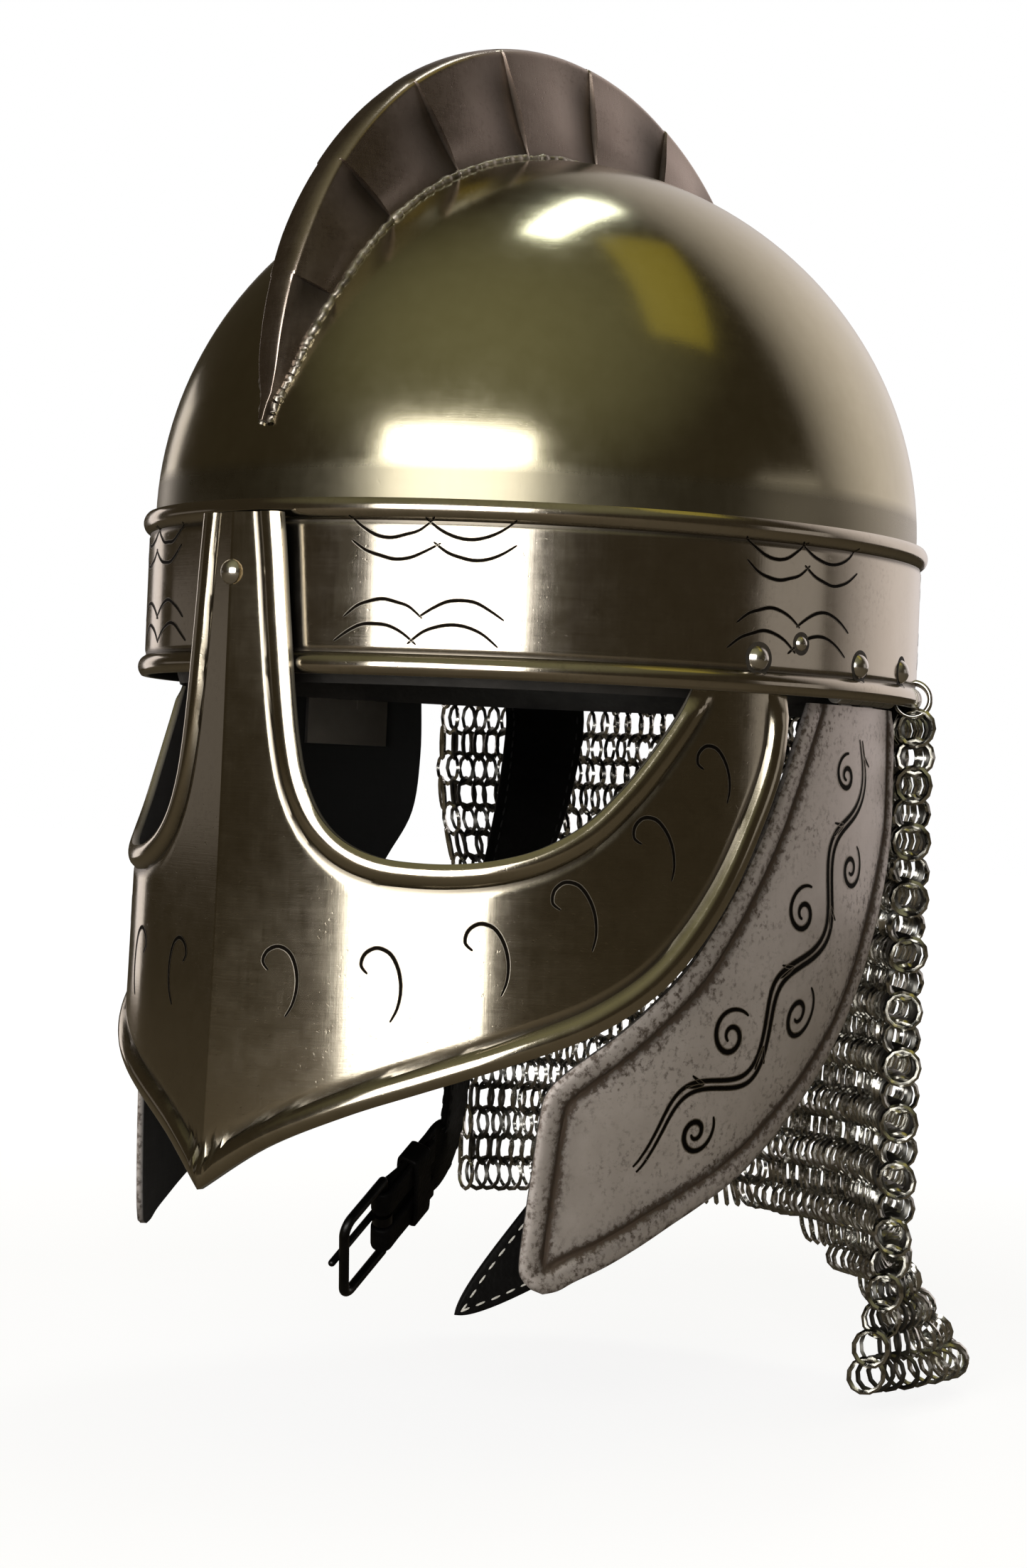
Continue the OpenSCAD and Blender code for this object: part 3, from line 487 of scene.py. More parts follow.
def bandOff(z):  # rounded bead along each edge with a shallow groove beside it
    d = bandEdge(z)
    bead = bandLook["bead"] * np.maximum(0, 1 - ((d - bandLook["beadMid"]) / bandLook["beadHalf"]) ** 2) ** 0.75
    return bead - bandLook["groove"] * bell(d - bandLook["grooveAt"], 0.7)


def bandPoint(a, z, lift=0.0):  # point on the band's outside, lifted off it
    return wall(a, z, bandOff(np.asarray(z, float)) + lift)


# close rows over the two beads, wider ones between
levels = np.concatenate([np.linspace(0, 8.5, 22), np.linspace(9.5, 35.5, 14), np.linspace(36.5, 45, 22)])
ang, zed = np.meshgrid(np.linspace(0, 360, bandLook["around"], endpoint=False), levels, indexing="ij")
grimeAndShade = bandLook["dirt"] * bell(bandEdge(zed) - bandLook["grooveAt"], 0.8) + bandLook["edgeDirt"] * (zed < 0.5)
makePiece("browBand", np.stack([bandPoint(ang, zed), wall(ang, zed, -shell["sheet"])]), shellFaces(*ang.shape, True),
          bandSteel, "helmet", "satin_steel", ["brow_band"], attributes=faceMarks(grimeAndShade))

# Engraved strokes

cutLook = {"end": 0.3, "lip": 0.07, "shoulder": 0.7, "floor": 0.03, "across": (-1.0, -0.45, 0.0, 0.45, 1.0)}


def stroke(path, width, place, steps=40):
    # tapering cut along a path in a flat chart in millimetres; place puts chart points on the surface
    t = np.linspace(0, len(path) - 1, steps)
    mid = curveAt(path, t)
    side = unit(np.gradient(mid, axis=0))[:, ::-1] * np.array([-1, 1])
    swell = np.sin(np.pi * np.clip(t / t[-1], 0, 1) ** 0.85) ** 0.5
    half = width / 2 * mix(cutLook["end"], 1, swell)
    across = np.array(cutLook["across"])
    lip, shoulder = cutLook["lip"], cutLook["lip"] * cutLook["shoulder"]
    lift = np.array([lip, shoulder, cutLook["floor"], shoulder, lip])
    chart = mid[:, None] + (half[:, None] * across)[..., None] * side[:, None]
    verts = place(chart[..., 0], chart[..., 1], np.broadcast_to(lift, chart.shape[:2]))
    depth = np.broadcast_to(1 - np.abs(across), chart.shape[:2])
    return verts, gridFaces(*chart.shape[:2]), depth


def engrave(name, strokes, body, slot):  # strokes as one piece, every face turned to look out of the helmet
    verts, faces = joined([(v, f) for v, f, d in strokes])
    depth = np.concatenate([np.ravel(d) for v, f, d in strokes])
    corner = verts[faces]
    normal = np.cross(corner[:, 1] - corner[:, 0], corner[:, 3] - corner[:, 0])
    wrong = (normal * corner.mean(1))[:, :2].sum(1) < 0
    faces = np.where(wrong[:, None], faces[:, ::-1], faces)
    makePiece(name, verts, faces, cutLine, body, slot, attributes={"depth": depth})


def onBand(s, z, lift):  # chart point put on the band
    return bandPoint(toAngle(s), z, lift)


# Rows of bows on the band: rise, height of the ends over the band's lower edge, slip along the band
bowLook = {"sets": (28.2, 82.0, 136.0), "span": 20.5, "cut": 1.15, "shake": 0.25, "raised": 2.8,
           "rows": [(-4.6, 39.6, 0.0), (-4.0, 33.6, 1.2), (4.2, 15.2, -1.6), (4.6, 8.6, -3.6)]}
bows = []
for middle, flank, (rise, ends, slip), half in product(bowLook["sets"], (1, -1), bowLook["rows"], (-1, 1)):
    if middle > 60 and rise > 0:  # the lower rows stand higher behind the mask
        ends = ends + bowLook["raised"]
    x = toArc(middle) + slip + half * bowLook["span"] / 2
    w = bowLook["span"] / 2 * (1.04 + 0.06 * rng.uniform(-1, 1))
    path = [[flank * (x + k * w), ends + rise * (1 - k * k) + rng.uniform(-bowLook["shake"], bowLook["shake"])]
            for k in (-1.05, -0.7, -0.35, 0, 0.35, 0.7, 1.05)]
    bows.append(stroke(path, bowLook["cut"], onBand))
engrave("bandBows", bows, "helmet", "satin_steel")

# Face mask

maskLook = {"front": 1.5, "ridge": 5.0, "ridgeWide": 20.0, "flare": 2.0, "chin": -133.5, "nasal": 41.0,
            "border": 6.0, "bead": 1.8, "sub": 8, "inside": 34, "dirt": 0.8}
eyeRail = [[7.2, 41], [7.9, 30], [8.6, 17], [9.3, 5], [10, -6], [11, -18], [12.4, -28], [14.8, -36.5],
           [18.4, -42.5], [23.2, -46], [28.5, -47], [34, -46.8], [39.5, -45.2], [45, -41.8], [50.5, -35.5],
           [55.5, -26], [60, -15], [63.8, -4], [66.5, 7], [68.5, 18]]
chinRail = [[0, -133.5], [9, -121.5], [20, -112], [31, -104.3], [42, -96.8], [53, -88.5], [62, -77],
            [69.5, -60], [75.5, -39.5], [80.3, -14], [79.8, 18]]
maskTip = len(eyeRail) - len(chinRail)


def maskOff(a, z):  # proud of the band in front, inside it at the temples, creased in the middle, flaring below
    a = np.abs(a)
    crease = maskLook["ridge"] * np.maximum(0, 1 - a / maskLook["ridgeWide"]) ** 2
    off = mix(maskLook["front"], lapMid, smooth((a - 15) / 47)) + crease
    return off + maskLook["flare"] * (np.minimum(z, 0) / maskLook["chin"]) ** 2


def edgeDistance(points, rail):  # millimetres from chart points to a polyline
    p, q = rail[:-1], rail[1:]
    d = q - p
    flat = points.reshape(-1, 1, 2)
    t = np.clip(((flat - p) * d).sum(-1) / (d * d).sum(-1), 0, 1)
    return np.linalg.norm(flat - p - t[..., None] * d, axis=-1).min(1).reshape(points.shape[:-1])


# Rolled border of the mask and the plates: places from the edge in border widths, groove's depth in millimetres
rollLook = {"mid": 0.46, "half": 0.56, "grooveAt": 1.12, "groove": 0.3}


def roll(d, width, height):  # rounded border bead with a groove on its inner side, by distance from the edge
    bead = height * np.maximum(0, 1 - ((d - rollLook["mid"] * width) / (rollLook["half"] * width)) ** 2) ** 0.7
    return bead - rollLook["groove"] * bell(d - rollLook["grooveAt"] * width, 0.8)


def betweenRails(a, b, look):  # chart points from one rail to the other, close together in the two borders
    wide = np.linalg.norm(a - b, axis=1)
    rim = (np.minimum(1.3 * look["border"], 0.42 * wide) / wide)[:, None]
    inside = np.linspace(0, 1, look["inside"] + 2)[1:-1]
    share = np.concatenate([rim * np.linspace(0, 1, 12), mix(rim, 1 - rim, inside), 1 - rim * np.linspace(1, 0, 12)], 1)
    return mix(a[:, None], b[:, None], share[..., None])


eyeSpan, chinSpan = len(eyeRail) - 1, len(chinRail) - 1
eyeFlat = toChart(curveAt(eyeRail, np.linspace(0, eyeSpan, 400)))
chinFlat = toChart(curveAt(chinRail, np.linspace(0, chinSpan, 300)))
k = np.linspace(0, eyeSpan, eyeSpan * maskLook["sub"] + 1)
centre = np.stack([0 * k, mix(maskLook["nasal"], maskLook["chin"], np.clip(k / maskTip, 0, 1) ** 1.3)], -1)
lower = np.where((k <= maskTip)[:, None], centre, curveAt(chinRail, np.maximum(0, k - maskTip)))
chart = betweenRails(toChart(curveAt(eyeRail, k)), toChart(lower), maskLook)
maskAngle, maskZ = toAngle(chart[..., 0]), chart[..., 1]
d = np.minimum(edgeDistance(chart, eyeFlat), edgeDistance(chart, chinFlat))
lapped = np.where(maskAngle > 40, smooth((-1.5 - maskZ) / 4), 1.0)  # flat where it slips inside the band
border = roll(d, maskLook["border"], maskLook["bead"]) * lapped
grimeAndShade = maskLook["dirt"] * bell(d - rollLook["grooveAt"] * maskLook["border"], 0.9) * lapped
middleRow = np.zeros(maskAngle.shape, bool)
middleRow[:maskTip * maskLook["sub"] + 1, -1] = True
faces = shellFaces(*maskAngle.shape)
faces = faces[~np.tile(middleRow.ravel(), 2)[faces].all(1)]  # no wall along the crease, where the two halves meet
leftHalf = sheetLayers(maskAngle, maskZ, maskOff(maskAngle, maskZ), border), faces[:, ::-1]
makePiece("faceMask", *joined([leftHalf, mirrored(*leftHalf)]), maskSteel, "helmet", "satin_steel", ["face_mask"],
          attributes={key: np.tile(marks.ravel(), 2) for key, marks in faceMarks(grimeAndShade).items()}, merge=0.002)


def onMask(s, z, lift):  # chart point put on the mask
    a = toAngle(s)
    return wall(a, z, maskOff(a, z) + shell["sheet"] / 2 + lift)


# Hooked scrolls under the eyes: angle, height, turn in degrees, size
scrollLook = {"cut": 1.3, "places": [(10.1, -78.7, 4, 0.95), (24.5, -78, 8, 1.0), (38.4, -70.5, 14, 1.0),
                                      (49.8, -59, 20, 1.0), (60.5, -41.3, 24, 0.95), (68.9, -21.6, 22, 0.85)]}
hook = np.array([[-3.6, 3.0], [-5.0, 5.4], [-3.6, 8.2], [-0.4, 9.3], [2.8, 7.4], [4.4, 3.2], [4.5, -1.6],
                 [3.2, -6.2], [1.0, -9.6]])
scrolls = []
for a, z, turn, size in scrollLook["places"]:
    c, s = math.cos(math.radians(turn)), math.sin(math.radians(turn))
    shape = hook @ np.array([[c, s], [-s, c]]) * size + [toArc(a), z]
    for flank in (1, -1):
        scrolls.append(stroke(shape * [flank, 1], scrollLook["cut"], onMask, 60))
engrave("maskScrolls", scrolls, "helmet", "satin_steel")

# Cheek plates

plateLook = {"top": -1.4, "tall": 150.0, "pinOff": -6.0, "lean": 3.5, "tip": 2.6, "twist": 0.16,
             "border": 6.0, "bead": 1.0, "sub": 6, "inside": 22, "dirt": 0.9, "haze": 0.25, "edgeDirt": 0.45}
plateFront = [[87.3, -1.4], [85.2, -10], [82.6, -21], [79.3, -34], [75.6, -46.5], [71.4, -59], [66.8, -71],
              [61.5, -81], [55.5, -90.5], [50, -98], [46.9, -104], [46, -112], [45.4, -123], [44.8, -134],
              [44.2, -146.3], [44.5, -150.9], [46, -153.9]]
plateBack = [[117, -1.4], [117.3, -18], [116.3, -36], [112.3, -50], [107.8, -64], [104.8, -78.4], [101.1, -92],
             [95.6, -104.4], [88.5, -116.2], [81.7, -125.8], [74.9, -132.7], [68, -138.5], [62, -144], [56.8, -148.6],
             [52.2, -152.1], [49.8, -154.3], [47.6, -155.1]]
plateSpan = len(plateFront) - 1
k = np.linspace(0, plateSpan, plateSpan * plateLook["sub"] + 1)
front, back = toChart(curveAt(plateFront, k)), toChart(curveAt(plateBack, k))
outline = np.concatenate([front, back[::-1]])


def plateOff(s, z):
    # through the pin's axis at the top, leaning out below, tip drawn in, lower back edge turned inward
    down = np.clip((plateLook["top"] - z) / plateLook["tall"], 0, 1)
    d = edgeDistance(np.stack(np.broadcast_arrays(s, z), -1), front)
    tip = plateLook["tip"] * np.maximum(0, (down - 0.65) / 0.35) ** 1.5
    return plateLook["pinOff"] + plateLook["lean"] * down - tip - plateLook["twist"] * d * smooth((down - 0.35) / 0.5)


chart = betweenRails(front, back, plateLook)
plateAngle, plateZ = toAngle(chart[..., 0]), chart[..., 1]
d = edgeDistance(chart, outline)
border = roll(d, plateLook["border"], plateLook["bead"]) * smooth((plateLook["top"] - plateZ) / 5)
# dirt in the groove, a haze beside it, and dirt along the very edge
grimeAndShade = (plateLook["dirt"] * bell(d - rollLook["grooveAt"] * plateLook["border"], 1.3)
         + plateLook["haze"] * bell(d - 6, 5.0) + plateLook["edgeDirt"] * bell(d, 1.0))
leftPlate = (sheetLayers(plateAngle, plateZ, plateOff(chart[..., 0], plateZ), border),
             shellFaces(*plateAngle.shape)[:, ::-1])
for side, plate in (("left", leftPlate), ("right", mirrored(*leftPlate))):
    makePiece(side + "CheekPlate", *plate, plateSteel, side + "_cheek", "grey_steel", [side + "_cheek_plate"],
              attributes=faceMarks(grimeAndShade), merge=0.002)


def onPlate(s, z, lift):  # chart point put on the cheek plate
    return wall(toAngle(s), z, plateOff(s, z) + shell["sheet"] / 2 + lift)


# Winding stem with curled shoots, drawn along the plate's middle: place along it and sideways, in millimetres
vineLook = {"from": 9.0, "to": 152.0, "stem": 1.3, "wave": 5.5, "waves": 3.25, "curl": 7.6, "turns": 1.55,
            "tighten": 0.17, "cut": 1.9, "leafCut": 1.1, "leaves": ((6.5, 0.5), (5.0, 1.1))}
middleLine = (front + back) / 2
plateRun = lengthAlong(middleLine)


def alongPlate(run, aside):  # chart point after run millimetres of the middle line, aside to one side of it
    at, fore, aft = (np.stack([np.interp(r, plateRun, middleLine[:, i]) for i in (0, 1)], -1)
                     for r in (run, run + 2, run - 2))
    return at + np.asarray(aside)[..., None] * unit(fore - aft)[..., ::-1] * np.array([-1, 1])


def fade(run):  # the drawing widens with the plate
    return np.interp(run, [0, 20, 70, 110, 152], [0.6, 0.85, 1.0, 1.1, 0.7])


run = np.linspace(vineLook["from"], vineLook["to"], 60)
sway = np.sin(2 * np.pi * vineLook["waves"] * (run - run[0]) / (run[-1] - run[0]))
strokes = []
for sign in (-1, 1):  # both edges of the stem
    stem = alongPlate(run, sign * vineLook["stem"] * fade(run) + vineLook["wave"] * fade(run) * sway)
    strokes.append(stroke(stem, vineLook["cut"], onPlate, 240))
shoots = 2 * vineLook["waves"]
a = np.linspace(0, vineLook["turns"] * 2 * np.pi, 46)
u = np.linspace(0, 1, 8)
for n in range(int(shoots)):
    base = vineLook["from"] + (n + 0.12) / shoots * (vineLook["to"] - vineLook["from"])
    sign = -1 if n % 2 == 0 else 1
    curl = vineLook["curl"] * fade(base + 8)
    r = curl * np.exp(-vineLook["tighten"] * a)
    aside = sign * (2.2 + 0.7 * curl) + sign * r * np.sin(a)
    strokes.append(stroke(alongPlate(base + 9 - r * np.cos(a), aside), vineLook["cut"], onPlate, 120))
    for reach, lean in vineLook["leaves"]:  # two short leaves in the fork
        leaf = alongPlate(base + 1 + reach * u * math.cos(lean), -sign * (3.0 + reach * u ** 1.3 * math.sin(lean)))
        strokes.append(stroke(leaf, vineLook["leafCut"], onPlate, 24))
engrave("leftPlateVine", strokes, "left_cheek", "grey_steel")
engrave("rightPlateVine", [(sideways(v), f, d) for v, f, d in strokes], "right_cheek", "grey_steel")

# Crest

crestLook = {"from": 10.0, "to": 156.0, "height": 31.0, "lowest": 2.6, "foot": 9.0, "footEnd": 3.5, "rim": 4.5,
             "rimEnd": 2.4, "sheet": 1.2, "pleats": 9, "depth": 2.1, "step": 0.006, "slant": 0.05}


def crestPoint(t, x, h):  # point over the bowl at angle t in the middle plane, x sideways, h above the bowl
    w, l, b = shell["halfW"] + lapOut, shell["halfL"] + lapOut, shell["bowlH"]
    r = np.radians(t)
    reach = np.sqrt(1 - (x / w) ** 2) / np.sqrt((np.cos(r) / l) ** 2 + (np.sin(r) / b) ** 2) + h
    return np.stack([x, -reach * np.cos(r), shell["bandH"] + reach * np.sin(r)], -1)


def crestLift(t):  # share of the full height: a half wave from end to end
    return np.maximum(0.06, np.sin(np.pi * (t - crestLook["from"]) / (crestLook["to"] - crestLook["from"])))


def crestAngle(u, f):
    # angle where u panels are passed, f from the foot to the rim: folds slant a little, not at the two ends
    share = (u + 0.2) / crestLook["pleats"]
    keep = np.clip(np.minimum(share, 1 - share) * crestLook["pleats"] / 0.3, 0, 1)
    return mix(crestLook["from"], crestLook["to"], share - crestLook["slant"] * f * keep / crestLook["pleats"])


def crestSide(u, f):
    # half width: each panel falls away, the next steps out over its end, and both ends run out to a point
    t = crestAngle(u, f)
    lift = crestLift(t)
    foot = mix(crestLook["footEnd"], crestLook["foot"], np.minimum(1, 2.2 * lift))
    rim = mix(crestLook["rimEnd"], crestLook["rim"], np.minimum(1, 2 * lift))
    part, step = u - np.floor(u), crestLook["step"]
    saw = np.where(part < 1 - step, 1 - np.minimum(1, part / (1 - step)) ** 2.2, (part + step - 1) / step) - 0.35
    swell = mix(0.2, 1.0, smooth(f / 0.35)) * mix(1.0, 0.3, smooth((f - 0.5) / 0.5))
    point = mix(0.3, 1.0, smooth(np.minimum(t - crestLook["from"], crestLook["to"] - t) / 8))
    return point * (mix(foot, rim, f ** 0.8) + crestLook["depth"] * saw * swell * np.minimum(1, 1.6 * lift))


stops = [0, 0.03, 0.08, 0.15, 0.24, 0.34, 0.44, 0.54, 0.64, 0.74, 0.84, 0.93, 1 - crestLook["step"]]
u = (np.arange(-1, crestLook["pleats"])[:, None] + stops).ravel()
u = np.concatenate([[-0.182, -0.1], u[(u > -0.09) & (u < 8.76)], [8.782]])  # short panels at the pointed ends
f = np.concatenate([np.linspace(0, 0.9, 14), 1 - 0.08 * np.linspace(1, 0, 9) ** 2])
uu, ff = np.meshgrid(u, f, indexing="ij")
tt = crestAngle(uu, ff)
high = np.maximum(crestLook["lowest"], crestLook["height"] * crestLift(tt))
stand = shell["gap"] + (high - shell["gap"]) * ff
edge = np.clip((ff - 0.92) / 0.08, 0, 1)  # rounded corner, then a flat strip along the rim
side = crestSide(uu, ff) * (1 - 0.97 * edge ** 3) ** 0.45
thin = np.maximum(side - crestLook["sheet"], 0.05 * side)
low = np.where(ff > 0.02, -crestLook["sheet"] * ff, 0)
outer, inner = bothSides(crestPoint(tt, side, stand)), bothSides(crestPoint(tt, thin, stand + low))
# painted shade on the crest: each panel darker towards its end, where it falls away before the next step, and darker
# along the foot
part = uu - np.floor(uu)
shaded = 0.36 + 0.16 * np.sin(2.1 * np.floor(uu))  # where the painted shade at the end of each panel begins
fold = 0.93 * smooth((part - shaded) / (0.97 - shaded))
fold = fold * mix(1, 0.5, smooth((ff - 0.6) / 0.36)) * smooth((0.97 - ff) / 0.06)  # painted shade weaker above, none on the rim
fold = np.maximum(fold, 0.5 * bell(ff, 0.06))
makePiece("crest", np.stack([outer, inner]), shellFaces(*outer.shape[:2]), crestSteel, "helmet", "dark_steel",
          ["crest_comb"], attributes=faceMarks(np.concatenate([fold, fold[:, ::-1]], 1)), sharp=42)

# Weld along the crest's foot: a lumpy bead on both sides
weldLook = {"radius": 1.15, "lumps": 0.35, "steps": 420}
u = np.linspace(-0.2, 8.8, weldLook["steps"])
bumps = np.convolve(rng.normal(0, 1, weldLook["steps"] + 10), np.ones(5) / 5, "same")[:weldLook["steps"]]
lumps = weldLook["radius"] * (1 + weldLook["lumps"] * bumps)
line = crestPoint(crestAngle(u, 0 * u), crestSide(u, 0 * u) + 0.25 + 0.25 * np.sin(u * 50), 0 * u + 0.2)
makePiece("crestWeld", *joined([tube(line, lumps, 8), mirrored(*tube(line, lumps[::-1], 8))]),
          weldSteel, "helmet", "dark_steel", sharp=80)

# Mail: round wire rings in rows turned this way and that, each through two above and two below

mailLook = {"edge": 122.0, "draw": 6.0, "top": -5.6, "rows": 24, "row": 8.1, "columns": 56, "reach": 0.985,
            "mean": 5.1, "wire": 0.72, "rise": 1.1, "turn": 55.0, "edgeTurn": 80.0, "flare": 34.0, "tuck": 9.0,
            "flareFrom": -140.0, "hem": -200.0, "arch": 42.0, "edgeFrom": 0.93, "flatBack": 0.12,
            "wearAndShade": 0.6, "shaded": 0.8, "segments": 12, "sides": 4}
mailShake = {"rise": 0.25, "turn": 5.0, "tip": 0.07}


def mailAt(s, z):  # angle at share s from edge to edge: the mail draws together as it hangs
    half = 180.5 - mailLook["edge"] - mailLook["draw"] * smooth((-20 - z) / 70)
    return 180 + s * half


def mailHem(s):  # low at the front corner on the wearer's left, higher at the back and on the right
    return mailLook["hem"] + mailLook["arch"] * (1 - smooth((-s - 0.05) / 0.6))


def mailOff(s, z):  # the low corner spreads towards the back and tucks in at the front edge
    spread = mix(-mailLook["tuck"], mailLook["flare"], smooth((1 - np.abs(s)) / 0.36))
    start = mailLook["flareFrom"]
    return -0.65 + spread * np.maximum(0, (start - z) / (start - mailLook["hem"])) ** 1.6


def mailPoint(s, z, lift=0.0):  # point of the mail's sheet, lifted off it
    return wall(mailAt(s, z), z, mailOff(s, z) + lift)


col, row = np.meshgrid(np.arange(mailLook["columns"]), np.arange(mailLook["rows"]), indexing="ij")
share = -mailLook["reach"] + 2 * mailLook["reach"] * (col + 0.5 * (row % 2)) / (mailLook["columns"] - 0.5)
z = mailLook["top"] - mailLook["row"] * row
hangs = z > mailHem(share) + 4
share, z, row = share[hangs], z[hangs], row[hangs]
beside = np.abs(share)  # 0 at the middle of the back, 1 at the free edges
centre = mailPoint(share, z, mailLook["rise"] + rng.normal(0, mailShake["rise"], z.shape))
down = unit(mailPoint(share, z - 1) - mailPoint(share, z + 1))
along = unit(mailPoint(share + 0.01, z) - mailPoint(share - 0.01, z))
face = unit(np.cross(down, along))
# further round at the free edges; mirrored left and right, flat at the middle of the back
turn = mix(mailLook["turn"], mailLook["edgeTurn"], smooth((beside - mailLook["edgeFrom"]) / 0.04))
turn = turn * (2 * smooth((share + mailLook["flatBack"]) / (2 * mailLook["flatBack"])) - 1)
turn = turn * np.where(row % 2 == 0, 1, -1) + rng.normal(0, mailShake["turn"], z.shape)
angle = np.radians(turn)[:, None]
across = np.cos(angle) * along + np.sin(angle) * face
upright = unit(down + rng.normal(0, mailShake["tip"], z.shape)[:, None] * face)
axis = np.cross(across, upright)
ringTurn = around(mailLook["segments"])
u, v = ringTurn[None, :, None], around(mailLook["sides"])[None, None, :, None]
spoke = (np.cos(u) * across[:, None] + np.sin(u) * upright[:, None])[:, :, None]
rings = (centre[:, None, None] + mailLook["mean"] * spoke
         + mailLook["wire"] * (np.cos(v) * spoke + np.sin(v) * axis[:, None, None]))
one = gridFaces(mailLook["segments"], mailLook["sides"], 0, True, True)
faces = repeatFaces(one, mailLook["segments"] * mailLook["sides"], len(z))
# painted shade where the rings meet, less of it along the free edges, and painted shade all round the rings just inside
# those
wearAndShade = mailLook["wearAndShade"] * (1 - smooth((beside - 0.9) / 0.05))
behind = mailLook["shaded"] * smooth((0.958 - beside) / 0.008) * smooth((beside - 0.8) / 0.06)
grimeAndShade = np.maximum(behind[:, None], wearAndShade[:, None] * np.abs(np.sin(ringTurn)) ** 5)
mail = makePiece("mailCurtain", rings, faces, ringSteel, None, "ring_mail", ["mail_aventail"], sharp=80,
                 attributes={"grimeAndShade": np.broadcast_to(grimeAndShade[:, :, None], rings.shape[:3])})
print("steel made")

# Straps

strapLook = {"width": 25.0, "thick": 2.6, "angle": 139.0, "mid": -4.7, "top": 18.0,
             "holes": 5, "hole": 1.6, "firstHole": 0.75, "holeStep": 0.27}
stitchLook = {"step": 4.4, "inset": 2.3, "half": 1.45, "girth": (0.02, 0.26, 0.32, 0.26, 0.02), "flat": 0.75,
              "lift": 0.06}
hung = wall(strapLook["angle"], 0, strapLook["mid"])
route = [[hung[0], hung[1], strapLook["top"]], [hung[0], hung[1], 10],
         list(wall(strapLook["angle"], 1, strapLook["mid"] - 0.8)),
         [62.2, 79, -10.5], [55.6, 65.6, -35], [52, 47.7, -70]]
strapFace = np.array([0.87, -0.45, 0.2])  # the way the hanging end looks
lie = unit(np.array([-0.08, -0.82, -0.56]))  # the strap's line at the buckle
buckleBar = np.array([45.0, -6.0, -155.0])
leftRoute = route + [[48, 22, -113], [37, -13, -142], [21.5, -47, -170.5]]
rightRoute = route + [[51, 34, -104]] + [list(buckleBar - far * lie) for far in (38, 26, 14.7, 3.4)]


def strapFrame(points, t):  # place, direction, outward face and side along a strap
    n = len(points) - 1
    at = curveAt(points, t)
    ahead = unit(curveAt(points, np.minimum(n, t + 0.05)) - curveAt(points, np.maximum(0, t - 0.05)))
    face = mix(wallNormal(np.full(t.shape, strapLook["angle"])), strapFace, smooth((t - 2) / 5)[:, None])
    face = unit(face - (face * ahead).sum(1, keepdims=True) * ahead)
    return at, ahead, face, np.cross(ahead, face)


def strapHalf(t, n, tip):  # half width, drawn to a point over the last of the route where there is a tip
    end = np.clip((n - t) / 0.9, 0.004, 1) ** 0.8 if tip else np.ones(t.shape)
    return strapLook["width"] / 2 * end


def strapBody(points, tip):  # rounded flat section carried along the route
    n, sides = len(points) - 1, 36
    t = np.concatenate([np.linspace(0, n - 0.7, 120), np.linspace(n - 0.7, n, 44)[1:]])
    at, ahead, face, side = strapFrame(points, t)
    a = around(sides)[None, :, None]
    x, y = squarish(np.cos(a), 0.22), squarish(np.sin(a), 0.55)
    half = strapHalf(t, n, tip)[:, None, None]
    verts = at[:, None] + half * x * side[:, None] + strapLook["thick"] / 2 * y * face[:, None]
    return verts, rodFaces(len(t), sides)


def stitches(points, tip, start, stop):  # short raised stitches along both edges and both faces
    n = len(points) - 1
    fineT = np.linspace(start, stop, 1200)
    run = lengthAlong(curveAt(points, fineT))
    t = np.interp(np.arange(2, run[-1], stitchLook["step"]), run, fineT)
    at, ahead, face, side = strapFrame(points, t)
    inset = np.maximum(strapHalf(t, n, tip) - stitchLook["inset"], 0.3)[:, None]
    slope = np.gradient(inset[:, 0], run[-1] / max(1, len(t)))[:, None] if tip else 0
    rows, sides = len(stitchLook["girth"]), 5
    length = (stitchLook["half"] * np.cos(np.linspace(0, np.pi, rows)))[None, :, None, None]
    girth = np.array(stitchLook["girth"])[None, :, None, None]
    v = around(sides)[None, None, :, None]
    faces = repeatFaces(gridFaces(rows, sides, wrapV=True), rows * sides, len(t))
    parts = []
    for edge, top in product((-1, 1), (-1, 1)):
        way = unit(ahead + edge * slope * side * 0.8)  # turned in with the strap's edge at the tip
        cross = unit(np.cross(face, way))[:, None, None]
        mid = at + edge * inset * side + top * (strapLook["thick"] / 2 + stitchLook["lift"]) * face
        section = np.cos(v) * cross + stitchLook["flat"] * np.sin(v) * face[:, None, None]
        parts.append((mid[:, None, None] + length * way[:, None, None] + girth * section, faces))
    return joined(parts)


def cutHoles(piece, centres, axes, radius):  # real punched holes, cut once and kept in the mesh
    cutter = bpy.data.meshes.new("punch")
    bm = bmesh.new()
    for centre, axis in zip(centres, axes):
        side = np.cross(axis, [0.3, 0.9, 0.2])
        turn = placed(unit(side), unit(np.cross(axis, side)), axis, centre * mm)
        bmesh.ops.create_cone(bm, cap_ends=True, segments=20, radius1=radius * mm, radius2=radius * mm,
                              depth=12 * mm, matrix=turn)
    bmesh.ops.recalc_face_normals(bm, faces=bm.faces)
    bm.to_mesh(cutter)
    bm.free()
    punch = bpy.data.objects.new("punch", cutter)
    scene.collection.objects.link(punch)
    cut = piece.modifiers.new("punch", "BOOLEAN")
    cut.object, cut.operation, cut.solver = punch, "DIFFERENCE", "EXACT"
    bpy.context.view_layer.update()
    done = bpy.data.meshes.new_from_object(piece.evaluated_get(bpy.context.evaluated_depsgraph_get()))
    piece.modifiers.remove(cut)
    piece.data = done
    bpy.data.objects.remove(punch)


